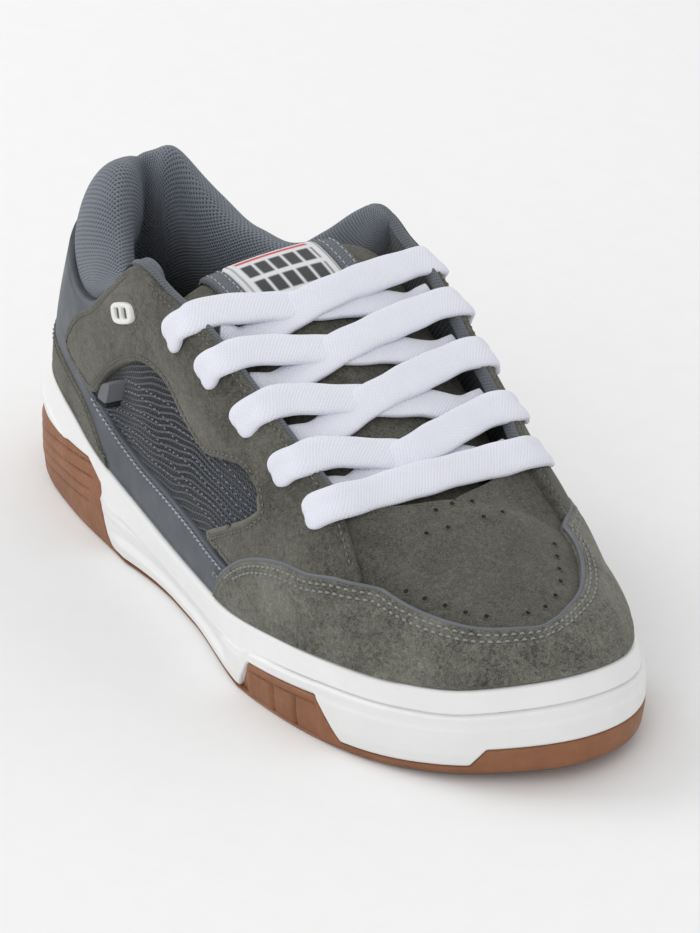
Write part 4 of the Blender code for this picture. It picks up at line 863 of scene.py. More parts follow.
TOE_CAP_MEDIAL_OUTLINE = (
    (0.560, FOOT), (0.578, 0.210), (0.606, 0.275), (0.648, 0.365), (0.708, 0.495), (0.774, 0.570), (0.826, 0.570),
    (0.878, 0.545), (0.930, 0.575), (0.956, 0.610), (0.985, 0.710), (1.000, 0.780), (1.000, FOOT), (0.900, FOOT),
    (0.750, FOOT),
)
SIDE_TAB_OUTLINE = ((0.262, 0.455), (0.290, 0.560), (0.322, 0.560), (0.298, 0.435))
FLAT_SCALE = np.array([0.40, 0.078])
EYESTAY_SEAM, QUARTER_SEAM, COUNTER_SEAM, CAP_SEAMS = 0.0022, 0.0020, 0.0020, (0.0021, 0.0042)
OVER_ONE, OVER_TWO = 0.0006, 0.0011


def on_side(outline, side):
    outline = np.array(outline, float)
    return np.column_stack([chart(side, outline[:, 0]), outline[:, 1]])


def joined(lateral, medial, end):
    """One outline round the heel (end 0) or the toe (end 1) from an outline for each side."""
    halves = []
    for outline, side in ((lateral, LATERAL), (medial, MEDIAL)):
        ends = [i for i, row in enumerate(outline) if row[0] == end]
        start = ends[1] if ends[1] - ends[0] == 1 else ends[0]
        places = on_side(outline[start:] + outline[:start], LATERAL)
        places[:, 0] = places[:, 0] if side == LATERAL else 2 * end - places[:, 0]
        halves.append(places)
    return np.concatenate([halves[0], halves[1][::-1][1:-1]])


# %% Rounding an outline and stepping inwards from it
def rounded(outline, spacing=0.0009, hard=0.0016):
    """Outline with its corners made parabolas, long ones where it turns gently and short ones where it turns hard,
    as evenly spaced points that run counter-clockwise."""
    points = np.asarray(outline, float) * FLAT_SCALE
    ahead, behind = np.roll(points, -1, 0) - points, np.roll(points, 1, 0) - points
    long_ahead, long_behind = np.linalg.norm(ahead, axis=1), np.linalg.norm(behind, axis=1)
    bend = np.sum(unit(ahead) * unit(behind), axis=1)
    room = np.minimum(long_ahead, long_behind)
    reach = np.where(bend < -0.55, 0.5 * room, np.minimum(hard, 0.4 * room))
    start, stop = points + unit(behind) * reach[:, None], points + unit(ahead) * reach[:, None]
    t = np.linspace(0, 1, 9)[None, :, None]
    curves = (1 - t) ** 2 * start[:, None] + 2 * t * (1 - t) * points[:, None] + t**2 * stop[:, None]
    line = curves.reshape(-1, 2)
    line = line[np.linalg.norm(line - np.roll(line, 1, 0), axis=1) > 1e-7]
    closed = np.concatenate([line, line[:1]])
    run = run_length(closed)
    at = np.linspace(0, run[-1], max(int(run[-1] / spacing), 12), endpoint=False)
    line = np.column_stack([np.interp(at, run, closed[:, k]) for k in range(2)])
    area = np.sum(line[:, 0] * np.roll(line[:, 1], -1) - np.roll(line[:, 0], -1) * line[:, 1])
    return (line if area > 0 else line[::-1]) / FLAT_SCALE


def inwards(line, distance):
    """Chart points of a closed line moved inwards by a distance over the last: the surface's own normal crossed with
    the line's run, put back into the chart by least squares."""
    near = 2e-4
    here = on_last(line)[0]
    by_place = (on_last(line + [near, 0])[0] - on_last(line - [near, 0])[0]) / (2 * near)
    by_rise = (here - on_last(line - [0, near])[0]) / near
    run = unit(np.roll(here, -1, 0) - np.roll(here, 1, 0))
    goal = np.cross(unit(np.cross(by_place, by_rise)), run) * distance
    a, b, c = np.sum(by_place**2, 1), np.sum(by_place * by_rise, 1), np.sum(by_rise**2, 1)
    u, v = np.sum(by_place * goal, 1), np.sum(by_rise * goal, 1)
    whole = np.maximum(a * c - b * b, 1e-12)
    return line + np.column_stack([(c * u - b * v) / whole, (a * v - b * u) / whole])


def distance_to(points, line):
    """Shortest distance from each point to a closed line of points, in blocks."""
    ends, step = line, np.roll(line, -1, 0) - line
    size = np.maximum(np.sum(step**2, 1), 1e-12)
    found = []
    for block in np.array_split(points, max(len(points) // 400, 1)):
        off = block[:, None] - ends[None]
        t = np.clip(np.sum(off * step[None], 2) / size[None], 0, 1)
        found.append(np.sqrt(np.min(np.sum((off - t[..., None] * step[None]) ** 2, 2), 1)))
    return np.concatenate(found)


# %% A panel from its outline
def panel(
    name, outline, finish, thickness=OVERLAY_THICKNESS, seams=(), edge=0.0006, spacing=0.0013, extra=None, above=0.0,
    **how,
):
    """Closed sheet over the last. Its height is the thickness times a quarter circle of the distance to the edge,
    less a shallow dip along each seam; above raises it where it lies on another panel, and extra(points) adds more."""
    line = rounded(outline)
    border = on_last(line)[0]
    loops = []
    for share in (0.10, 0.35, 0.75, 1.3):
        loops.append((edge * share * 0.7, inwards(line, edge * share)))
    for seam in seams:
        for off in (-0.0005, 0.0, 0.0005):
            loops.append((seam + off - 0.0003, inwards(line, seam + off)))
    scaled = line * FLAT_SCALE
    low, high = scaled.min(0), scaled.max(0)
    rows = np.arange(low[1], high[1], spacing * 0.866)
    columns = np.arange(low[0], high[0], spacing)
    net = np.stack(np.meshgrid(columns, rows), -1)
    net[1::2, :, 0] += spacing / 2
    loops.append((edge * 1.3 + 0.0004, net.reshape(-1, 2) / FLAT_SCALE))
    kept = [line]
    for needed, flat in loops:
        kept.append(flat[distance_to(on_last(flat)[0], border) > needed])
    flat = np.concatenate(kept)
    flat[:, 1] = np.minimum(flat[:, 1], 1.0)
    order = [Vector(map(float, p)) for p in flat * FLAT_SCALE / 0.001]
    count = len(line)
    edges = [(i, (i + 1) % count) for i in range(count)]
    made, _, faces, *_ = delaunay_2d_cdt(order, edges, [list(range(count))], 1, 1e-4)
    flat, faces = np.array([tuple(p) for p in made]) * 0.001 / FLAT_SCALE, np.array(faces)
    base, normals = on_last(flat)
    apart = distance_to(base, border)
    tall = thickness * np.sqrt(np.clip(1 - (1 - np.clip(apart / edge, 0, 1)) ** 2, 0, 1))
    dips = sum(0.00035 * bell(apart, seam, 0.0006) for seam in seams)
    lift = np.where(apart < 1e-5, 0.0, LIFT * np.clip(apart / (edge * 0.1), 0, 1)) + tall - dips
    lift = lift + (above + lasting_faults(base)) * np.clip(apart / edge, 0, 1)
    if extra is not None:
        lift = lift + extra(base) * ease(apart / 0.004)
    outer, inner = base + normals * lift[:, None], base - normals * np.where(apart < 1e-5, 0.0, 0.0002)[:, None]
    top_faces, under_faces = np.column_stack([faces, faces[:, :1]]), np.column_stack([faces[:, ::-1], faces[:, 2:]])
    quads = np.concatenate([top_faces, under_faces + len(base)])
    return add_piece(name, np.concatenate([outer, inner]), quads, finish, weld=2e-7, **how)


# %% Seam lines, stitches and rolled edges
def seam_path(outline, distance, keep, lift=None, above=0.0):
    """Runs of a line at this distance inside an outline, over the panel, where keep(place, rise) is true."""
    flat = inwards(rounded(outline, 0.0007), distance)
    shown = keep(unchart(flat[:, 0])[0], flat[:, 1])
    points, normals = on_last(flat)
    raised = above + (LIFT + OVERLAY_THICKNESS if lift is None else lift) + lasting_faults(points)
    points = points + normals * raised[:, None]
    start = int(np.argmin(shown)) if not shown.all() else 0
    points, normals, shown = (np.roll(rows, -start, 0) for rows in (points, normals, shown))
    cuts = np.flatnonzero(np.diff(shown.astype(int))) + 1
    runs = zip(*(np.split(rows, cuts) for rows in (points, normals, shown)))
    return [(p, n) for p, n, s in runs if s.all() and len(p) > 6]


STITCH_RINGS, STITCH_SIDES, STITCH_SINK = 5, 6, 0.35


def stitch_blocks(paths, pitch, length, radius):
    """Capsules along the paths: each follows the path for its length and dips into the suede at both ends."""
    made = []
    t = np.linspace(-1, 1, STITCH_RINGS)
    turn = np.arange(STITCH_SIDES) * 2 * np.pi / STITCH_SIDES
    for points, normals in paths:
        run = run_length(points)
        middles = np.arange(pitch / 2, run[-1] - pitch / 2, pitch)
        at = middles[:, None] + t[None] * length / 2
        spot = np.stack([np.interp(at, run, points[:, k]) for k in range(3)], -1)
        out = unit(np.stack([np.interp(at, run, normals[:, k]) for k in range(3)], -1))
        ahead = unit(np.gradient(spot, axis=1))
        across = np.cross(ahead, out)
        size = radius * np.sqrt(np.clip(1.02 - t**2, 0.02, 1))
        spot = spot + out * (radius * (1 - STITCH_SINK) - radius * 1.3 * t[None, :, None] ** 2)
        wide, tall = np.cos(turn)[None, None, :, None], np.sin(turn)[None, None, :, None] * 0.8
        body = spot[:, :, None] + (across[:, :, None] * wide + out[:, :, None] * tall) * size[None, :, None, None]
        tips = np.repeat(spot[:, [0, -1], None], STITCH_SIDES, 2)
        made.append(np.concatenate([tips[:, :1], body, tips[:, 1:]], 1).reshape(len(middles), -1, 3))
    return np.concatenate(made)


def sew(name, paths, finish, pitch=0.0026, length=0.0019, radius=0.00042, **how):
    blocks = stitch_blocks(paths, pitch, length, radius)
    faces = grid_faces(STITCH_RINGS + 2, STITCH_SIDES)
    return many(name, blocks, faces, finish, **how)


def rod(name, path, looks, width, height, finish, sides=14, power=2.0, **how):
    """Strip of oval section carried along a path; its ends taper to points over their last few steps."""
    run = unit(np.gradient(path, axis=0))
    across = unit(np.cross(run, looks))
    out = np.cross(across, run)
    turn = np.arange(sides) * 2 * np.pi / sides
    flat, tall = squared(np.cos(turn), 2 / power), squared(np.sin(turn), 2 / power)
    length = run_length(path)
    end = np.minimum(length, length[-1] - length) / (height * 0.8)
    size = np.sqrt(np.clip(1 - (1 - np.clip(end, 0.05, 1)) ** 2, 0, 1))[:, None, None]
    section = across[:, None] * flat[None, :, None] * width / 2 + out[:, None] * tall[None, :, None] * height / 2
    return loft(name, path[:, None] + size * section, finish, **how)


print("panel tools ready")

# %% [markdown]
# ## The panels of this shoe
# The suede eyestay runs from the ankle round the window to the vamp. Grey leather covers the quarter from the heel
# to under the window. A suede counter wraps the heel, and a suede cap wraps the toes over the vamp, its edge piped
# and double stitched.

# %% Eyestays, quarters, heel counter and toe cap
def creases(base):
    """Soft troughs that walking leaves in the toe cap: slow waves along the shoe that fade as a bell."""
    x = base[:, 0]
    return 0.0005 * np.sin(150 * x + 40 * base[:, 1]) * bell(x, 0.075, 0.03)


EYESTAYS = {side: on_side(EYESTAY_OUTLINE + EYESTAY_FRONT[side], side) for side, _ in SIDES}
QUARTERS = {side: on_side(QUARTER_OUTLINE, side) for side, _ in SIDES}
for side, label in SIDES:
    panel(
        f"eyestay_{label}_suede", EYESTAYS[side], suede, seams=(EYESTAY_SEAM,), edge=0.0007, above=OVER_ONE,
        stands_for=("eyestay_" + label,), slot="suede",
    )
    panel(
        f"quarter_{label}_leather", QUARTERS[side], skin, seams=(QUARTER_SEAM,),
        stands_for=("quarter_" + label,), slot="leather",
    )
toe_cap = joined(TOE_CAP_OUTLINE, TOE_CAP_MEDIAL_OUTLINE, 1)
# The toe cap takes the lighter suede: painted light for the light that falls on the toe.
panel(
    "toe_cap_suede", toe_cap, cap_suede_painted_light, seams=CAP_SEAMS, extra=creases, above=OVER_TWO,
    stands_for=("toe_cap",), slot="suede",
)
counter = joined(HEEL_COUNTER_OUTLINE, HEEL_COUNTER_OUTLINE, 0)
panel(
    "heel_counter_suede", counter, suede, seams=(COUNTER_SEAM,), above=OVER_ONE,
    stands_for=("heel_counter",), slot="suede",
)


# %% Which part of each outline is stitched or trimmed
def quarter_top(along, rise):
    """Under the window, from the counter to the toe cap."""
    lowest = np.interp(along, (0.24, 0.32, 0.54, 0.60), (0.35, 0.27, 0.225, 0.205))
    return (along > 0.22) & (along < 0.585) & (rise < 0.44) & (rise > lowest)


def round_eyestay(along, rise):
    return (rise < 0.97) & ((along < 0.70) | (rise > 0.6)) & ~((along < 0.19) & (rise < 0.50))


def window_front(along, rise):
    """The window's front end and the foot of the eyestay below it."""
    near = (along > 0.50) & (along < 0.655) & (rise < 0.62) & (rise > 0.285)
    return near & ~((along > 0.60) & (rise < 0.40)) & ~((along < 0.59) & (rise > 0.42))


def cap_edge(along, rise):
    return rise > np.interp(along, (0.58, 0.65, 0.71, 1.0), (0.20, 0.28, 0.38, 0.42))


def cap_piping(along, rise):
    return rise > np.interp(along, (0.57, 0.60, 0.65, 0.71, 1.0), (0.18, 0.22, 0.30, 0.38, 0.42))


def counter_edge(along, rise):
    return (rise > 0.18) & (rise < 0.97)


# %% Stitches: pale along the quarter, tonal round the eyestay and the heel, grey on the toe cap
for side, label in SIDES:
    under_window = seam_path(QUARTERS[side], QUARTER_SEAM, quarter_top)
    sew("foxing_stitches_" + label, under_window, pale_thread, radius=0.0005, slot="lace_cotton")
    round_it = seam_path(EYESTAYS[side], EYESTAY_SEAM, round_eyestay, above=0.0005)
    sew("eyestay_stitches_" + label, round_it, dull_thread, radius=0.00034, length=0.0016, pitch=0.0024)
for seam, which in zip(CAP_SEAMS, ("outer", "inner")):
    sew("toe_cap_stitches_" + which, seam_path(toe_cap, seam, cap_edge, above=0.0009), cap_thread)
sew("heel_stitches", seam_path(counter, COUNTER_SEAM, counter_edge, above=0.0005), dull_thread, radius=0.00036)

# %% Piping along the toe cap's edge, and the folded suede at the window's front and foot
for points, normals in seam_path(toe_cap, 0.0001, cap_piping, lift=LIFT + 0.0015):
    rod("toe_cap_piping", points, normals, 0.0017, 0.0017, piping_skin, sides=10)
for side, label in SIDES:
    for i, (points, normals) in enumerate(seam_path(EYESTAYS[side], 0.0002, window_front, lift=LIFT + 0.0008)):
        rod(f"window_fold_{label}_{i}", points, normals, 0.0022, 0.0019, edge_suede, sides=10)

# %% [markdown]
# ## The mesh window
# Ribbed cords cross the window over a dark knit. Each cord is a thin rod on a wavy line that climbs towards the toe,
# so the relief is real, and it runs on under the suede on both ends as the cloth does. Six lines of light flecks lie
# over the cords.

# %% Cords and flecks over the knit
CORD_CLIMB, CORD_SIDES = 0.45, 6
FLECK_LINES = ((0.345, 0.30), (0.385, 0.26), (0.43, 0.25), (0.475, 0.26), (0.52, 0.28), (0.565, 0.32))


def window_cords(side, count, radius):
    """Rods along the window: each climbs towards the toe with two slow waves. Its heel end runs to a point, and its
    toe end stays open under the suede."""
    places = np.linspace(0.215, 0.665, 110)
    levels = np.linspace(0.17, 0.80, count)
    along, level = np.meshgrid(places, levels)
    wave = 0.008 * np.sin(along * 34 + level * 9) + 0.003 * np.sin(along * 83 - level * 21)
    rise = np.clip(level + (wave if side == LATERAL else 0.2 * wave) + CORD_CLIMB * (along - 0.42), 0.25, 0.74)
    flat = np.stack([chart(side, along), rise], -1)
    points, normals = on_last(flat, np.full(along.shape, radius * 0.55))
    run = unit(np.gradient(points, axis=1))
    across = np.cross(run, normals)
    turn = np.arange(CORD_SIDES) * 2 * np.pi / CORD_SIDES
    section = across[:, :, None] * np.cos(turn)[:, None] + normals[:, :, None] * np.sin(turn)[:, None] * 0.75
    tips = np.repeat(points[:, :1, None], CORD_SIDES, 2)
    return np.concatenate([tips, points[:, :, None] + radius * section], 1)


CORDS = {LATERAL: (33, 0.00042), MEDIAL: (27, 0.00048)}
for side, label in SIDES:
    count, radius = CORDS[side]
    rods = window_cords(side, count, radius)
    faces = grid_faces(rods.shape[1], CORD_SIDES)
    uv = np.tile(grid_uv(np.arange(CORD_SIDES + 1) * 0.0004, np.arange(rods.shape[1]) * 0.0013), (count, 1, 1))
    many("window_cords_" + label, rods.reshape(count, -1, 3), faces, cord_thread, uv=uv, slot="mesh")
    lines = []
    for level, start in FLECK_LINES:
        places = np.linspace(start, 0.640, 160)
        flat = np.stack([chart(side, places), level + 0.006 * np.sin(places * 40 + level * 60)], -1)
        lines.append(on_last(flat, np.full(len(places), radius * 1.25)))
    sew("window_flecks_" + label, lines, fleck_thread, pitch=0.0031, length=0.0013, radius=0.00028, slot="mesh")

# %% [markdown]
# ## Perforations of the vamp
# Punched holes show as small dark discs with a pressed rim. A real cut would need a finer shell, so each hole is a
# shallow dark cup with a soft suede lip.

# %% Holes in two lines
PERFORATIONS = {
    LATERAL: (
        (0.858, 0.545), (0.882, 0.560), (0.906, 0.580), (0.928, 0.605), (0.948, 0.650), (0.840, 0.795), (0.862, 0.885),
        (0.828, 0.920), (0.838, 0.975),
    ),
    MEDIAL: (
        (0.998, 0.955), (0.978, 0.800), (0.960, 0.725), (0.938, 0.680), (0.920, 0.670), (0.900, 0.660), (0.878, 0.650),
        (0.870, 0.930), (0.850, 0.835), (0.836, 0.935),
    ),
}
hole_places = np.concatenate([on_side(rows, side) for side, rows in PERFORATIONS.items()])
middles, looks = on_last(hole_places)
middles = middles + looks * lasting_faults(middles)[:, None]
sideways = unit(np.cross(looks, np.array([0.3, 1.0, 0.1])))
HOLE_SIDES = 16
turn = (np.arange(HOLE_SIDES) * 2 * np.pi / HOLE_SIDES)[None, :, None]
round_turn = np.cross(looks, sideways)[:, None] * np.sin(turn) + sideways[:, None] * np.cos(turn)


def cup_rings(profile):
    """Rings of each hole from a profile of radius and height."""
    rings = [middles[:, None] + round_turn * radius + looks[:, None] * height for radius, height in profile]
    return np.stack(rings, 1).reshape(len(middles), -1, 3)


LIP_PROFILE = (
    (0.00078, -0.0003), (0.00076, 0.00012), (0.00092, 0.00028), (0.00118, 0.00022), (0.0014, 0.00002),
    (0.0014, -0.0003), (0.00078, -0.0003),
)
HOLE_PROFILE = ((0.0, -0.0002), (0.0008, -0.0002), (0.0008, 0.00009), (0.0004, 0.00006), (0.0, 0.00005))
many("vamp_hole_rims", cup_rings(LIP_PROFILE), grid_faces(len(LIP_PROFILE), HOLE_SIDES), vamp_suede, slot="suede")
many("vamp_holes", cup_rings(HOLE_PROFILE), grid_faces(len(HOLE_PROFILE), HOLE_SIDES), hole_dark)

# %% [markdown]
# ## Small fittings
# Each ankle panel carries a moulded vent with two windows, held by an oval of stitches, and the outer side has a
# folded black tab with a plain face.

# %% Vents
VENT_PLACE, VENT_LENGTH, VENT_HEIGHT, VENT_SLOPE = (0.340, 0.830), 0.0200, 0.0072, 22.0
VENT_HOLE, VENT_HOLE_SPREAD, VENT_SEAM = (0.0052, 0.0036), 0.0037, 0.0058


def squircle(turn, long, tall, power):
    """Rounded oblong, squarer with a higher power."""
    return np.stack([squared(np.cos(turn), 2 / power) * long / 2, squared(np.sin(turn), 2 / power) * tall / 2], -1)


def vent_frame(side):
    """Middle, outward, lengthwise and upward direction of the vent."""
    along, rise, which = np.array([VENT_PLACE[0]]), np.array([VENT_PLACE[1]]), np.array([side])
    middle, out = upper_point(along, which, rise)[0], upper_normal(along, which, rise)[0]
    tilt = np.radians(VENT_SLOPE)
    run = np.array([np.cos(tilt), 0, np.sin(tilt)])
    run = unit(run - out * (run @ out))
    return middle, out, run, np.cross(out, run) * -side


for side, label in SIDES:
    middle, out, run, up = vent_frame(side)
    turn = np.linspace(0, 2 * np.pi, 64, endpoint=False) + 0.01
    low, high = LIFT + OVERLAY_THICKNESS - 0.0002, LIFT + OVERLAY_THICKNESS + 0.0015
    outer = squircle(turn, VENT_LENGTH, VENT_HEIGHT, 3.2)
    blocks = []
    for which in (-1, 1):
        hole = squircle(turn, *VENT_HOLE, 5.0) + [which * VENT_HOLE_SPREAD, 0]
        rim = np.column_stack([which * np.maximum(outer[:, 0] * which, 0), outer[:, 1]])
        rows = [(1.0, low), (1.0, high - 0.0009), (0.97, high - 0.0003), (0.88, high), (0.3, high + 0.0001)]
        rows += [(0.1, high - 0.0001), (0.0, high - 0.0004), (0.0, low), (1.0, low)]
        placed = [(hole * share + rim * (1 - share), level) for share, level in rows]
        block = [middle + run * flat[:, :1] + up * flat[:, 1:] + out * level for flat, level in placed]
        blocks.append(np.concatenate(block))
    many(
        "vent_plate_" + label, np.array(blocks), grid_faces(len(rows), len(turn)), white_plastic,
        stands_for=("vent_" + label,), slot="white_plastic",
    )
    oval = squircle(np.linspace(0, 2 * np.pi, 160), VENT_LENGTH + VENT_SEAM, VENT_HEIGHT + VENT_SEAM, 2.6)
    line = middle + run * oval[:, :1] + up * oval[:, 1:] + out * (LIFT + OVERLAY_THICKNESS + 0.0003)
    sew(
        "vent_stitches_" + label, [(line, np.broadcast_to(out, line.shape))], dull_thread,
        pitch=0.0021, length=0.0014, radius=0.0003,
    )

# %% Side tab: folded black cloth with a plain grey face
panel(
    "side_tab_cloth", on_side(SIDE_TAB_OUTLINE, LATERAL), black_cloth, thickness=0.0022, edge=0.0005, spacing=0.001,
    above=0.0020, stands_for=("side_tab",), slot="black_woven",
)
FACE_SHARE, FACE_SHIFT = 0.76, np.array([0.009, 0.016])
tab_middle = np.mean(SIDE_TAB_OUTLINE, axis=0)
tab_face = tab_middle + (np.array(SIDE_TAB_OUTLINE) - tab_middle) * FACE_SHARE + FACE_SHIFT
panel(
    "side_tab_face", on_side(tab_face, LATERAL), tab_cloth, thickness=0.0003, edge=0.0002, spacing=0.0008,
    above=0.0047, slot="black_woven",
)


# %% [markdown]
# ## The padded collar
# Foam under a spacer mesh makes the collar. Its section is a closed curve that starts at the upper's edge, swells
# over a crest and runs down the inside of the shoe. The curve is carried round the opening from one end of the
# throat to the other. Inflated cloth could find such a form, but the collar's two lobes and the fold behind the heel
# have known places, so they are written into the section.


# %% Collar
def arc(first, first_handle, second_handle, last, shares):
    """Cubic curves, one for each row of the four arrays, read at the shares."""
    t = np.asarray(shares)[:, None, None]
    return (1 - t) ** 3 * first + 3 * t * (1 - t) ** 2 * first_handle + 3 * t**2 * (1 - t) * second_handle + t**3 * last


COLLAR_END = 1.395
collar_table = by_angle(COLLAR_SECTIONS)
turns = np.linspace(0, COLLAR_END, 100)
turn = np.concatenate([turns[::-1], turns[1:]])
collar_along = (1 - np.cos(turn)) / 2
collar_side = np.concatenate([np.full(len(turns), LATERAL), np.full(len(turns) - 1, MEDIAL)])
half_width = np.where(collar_side == LATERAL, -smooth(collar_table, 3, turn), smooth(collar_table, 4, turn))
crest = np.column_stack([
    (smooth(collar_table, 1, turn) - 0.5) * SOLE_LENGTH,
    half_width * SOLE_WIDTH / 2,
    smooth(collar_table, 2, turn) * PEAK_HEIGHT,
])
half, deep = smooth(collar_table, 5, turn)[:, None], smooth(collar_table, 6, turn)
edge = top_point(collar_along, collar_side)
crest[:, 2] -= 0.0062 * (collar_side == MEDIAL) * bell(turn, 0.74, 0.22)
crest[:, 2] += np.where(collar_side == MEDIAL, 0.0056, 0.0030) * bell(turn, 0.49, 0.15)
crest[:, 2] = np.maximum(crest[:, 2], edge[:, 2] + 0.002)
half = half + (0.0016 * ease((turn - 1.05) / 0.25) + 0.0014 * bell(turn, 0.36, 0.2))[:, None]
run = np.gradient(edge[:, :2], axis=0)
out = unit(np.column_stack([-run[:, 1], run[:, 0], np.zeros(len(run))]))
out *= np.sign(np.sum(out[:, :2] * (edge[:, :2] - np.array([-0.06, 0.0])), axis=1))[:, None]
up = np.array([0.0, 0.0, 1.0])
fold_behind = bell(turn, 0.0, 0.13)[:, None]
crest = crest - up * 0.0006 * fold_behind
clear = GAP + 0.0002
tall = crest[:, 2:] - edge[:, 2:]
start = edge + up * clear - out * clear
outer = arc(
    start,
    start + up * tall * 0.4 + out * half * 0.15,
    crest + out * half * 0.85 - up * half * 0.1,
    crest,
    np.linspace(0, 1, 14),
)
wall = []
for share in np.linspace(0, 1, 12):
    place = (collar_along, collar_side, deep + (1 - deep) * share)
    wall.append(upper_point(*place) - upper_normal(*place) * (UPPER_WALL + clear))
wall[-1] = wall[-1] + up * clear
foot = wall[0] - out * 0.0022
depth = crest[:, 2:] - foot[:, 2:]
inner = arc(
    crest,
    crest - out * half * 1.2 - up * half * 0.05 + out * 0.004 * fold_behind,
    crest - out * half * 1.1 - up * depth * 0.55 + out * 0.007 * fold_behind,
    foot,
    np.linspace(0, 1, 34)[1:],
)
collar_rings = np.stack([*outer, *inner, *wall], 1)
x, y, z = (collar_rings[..., k] for k in range(3))
soft_dents = 0.0005 * np.sin(170 * z + 90 * x) * np.sin(110 * y + 1.0)
quarter = np.pi / 2
face_share = [np.sin(np.linspace(0, quarter, len(outer))), np.sin(np.linspace(quarter, np.pi, len(inner)))]
face_share = np.concatenate([*face_share, np.zeros(len(wall))])
collar_rings = collar_rings + out[:, None] * (soft_dents * face_share[None])[..., None]
from_end = np.clip((turns[-1] - turn) / 0.07, 0.04, 1)
closing = np.sqrt(1 - (1 - from_end) ** 2)[:, None, None]
collar_rings = edge[:, None] + (collar_rings - edge[:, None]) * closing
collar = loft("collar_pad", collar_rings, lining_knit, stands_for=("collar_lining",), slot="lining")

# %% [markdown]
# ## Tongue, label and strips
# The tongue is a padded suede tongue with a rounded free end. On its crown sits a woven label between two grey
# strips. The label here carries plain blocks and one thin line only.


# %% Tongue
def tongue_surface(along, across):
    """Top of the tongue: its crown's height less a fall that grows with the distance from the middle to a power."""
    peak, lateral, medial, fall = (smooth(TONGUE_ROWS, c, along) for c in (1, 2, 3, 5))
    y = np.where(across < 0, across * lateral, across * medial) * SOLE_WIDTH / 2
    lean = TONGUE_LEAN * np.interp(along, (0.4, 0.6), (1.0, 0.0))
    fall = fall * np.where((across < 0) & (along < 0.50), 0.75, 1.0)
    z = peak * PEAK_HEIGHT - fall * np.abs(across) ** 2.2 + lean * (across + 0.5)
    return np.stack([(along - 0.5) * SOLE_LENGTH, y, z], -1)


ends = (TONGUE_ROWS[0][0], TONGUE_ROWS[-1][0])
tongue_places = ends[0] + (ends[1] - ends[0]) * (np.linspace(0, 1, 130) ** 1.35)
round_section = np.linspace(0, np.pi, 45)
across_top = -np.cos(round_section)
rows = []
for place in tongue_places:
    where = np.full(len(across_top), place)
    top = tongue_surface(where, across_top)
    thick = smooth(TONGUE_ROWS, 4, np.array([place]))[0]
    taper = ease((place - ends[0]) / 0.010) * 0.9 + 0.1
    bulge = np.sqrt(np.clip(1 - across_top**2, 0, 1))[:, None]
    middle = top - up * thick * 0.45
    quilt = 0.0006 * bell(place, 0.475, 0.006) + 0.00025 * np.sin(place * 120) * np.cos(2.5 * across_top)
    upper_face = middle + up * (thick * 0.45 * bulge * taper - np.asarray(quilt)[..., None] * bulge)
    lower_face = middle - up * thick * 0.55 * bulge * taper
    rows.append(np.concatenate([upper_face, lower_face[::-1][1:-1]]))
tongue = loft("tongue_pad", rows, suede, stands_for=("tongue",), slot="suede")

# %% Woven label with plain blocks, and the two grey strips beside it
label_finish, tree, shader = finish_of("woven_label", (0.85, 0.85, 0.85), 0.75, Sheen_Weight=0.2)
spot = put(tree, "SeparateXYZ", None, Vector=put(tree, "UVMap").outputs[0])


def bar(value, low, high, soft=0.0004):
    """1 between low and high metres, with a soft woven edge."""
    begun, not_over = spread(tree, value, low - soft, low + soft), spread(tree, value, high + soft, high - soft)
    return maths(tree, "MULTIPLY", begun, not_over)


def any_of(*masks):
    found = masks[0]
    for mask in masks[1:]:
        found = maths(tree, "MAXIMUM", found, mask)
    return found


def weave(value, pitch):
    return maths(tree, "SINE", maths(tree, "MULTIPLY", value, 2 * np.pi / pitch))


u, v = spot.outputs[0], spot.outputs[1]
inside = bar(u, 0.0038, LABEL_WIDTH - 0.0038)
bars = maths(tree, "MULTIPLY", inside, any_of(bar(v, 0.0025, 0.0100), bar(v, 0.0122, 0.0190)))
gaps = maths(tree, "MULTIPLY", bars, any_of(*[bar(u, 0.0078 + 0.0052 * k, 0.0088 + 0.0052 * k) for k in range(5)]))
border = any_of(bar(u, 0.0012, 0.0017), bar(u, LABEL_WIDTH - 0.0017, LABEL_WIDTH - 0.0012))
thread = maths(tree, "MULTIPLY", weave(u, 0.0005), weave(v, 0.0006))
colour = tinted(tree, spread(tree, thread, -1.0, 1.0, 0.0, 0.2), (0.80, 0.80, 0.82, 1), (0.62, 0.62, 0.66, 1))
dark = maths(tree, "MAXIMUM", maths(tree, "SUBTRACT", bars, gaps), maths(tree, "MULTIPLY", border, 0.8))
colour = tinted(tree, dark, colour, (0.018, 0.020, 0.026, 1))
colour = tinted(tree, maths(tree, "MULTIPLY", inside, bar(v, 0.0212, 0.0232)), colour, (0.62, 0.02, 0.035, 1))
tree.links.new(colour, shader.inputs["Base Color"])
raise_by(tree, shader, thread, 0.00008)


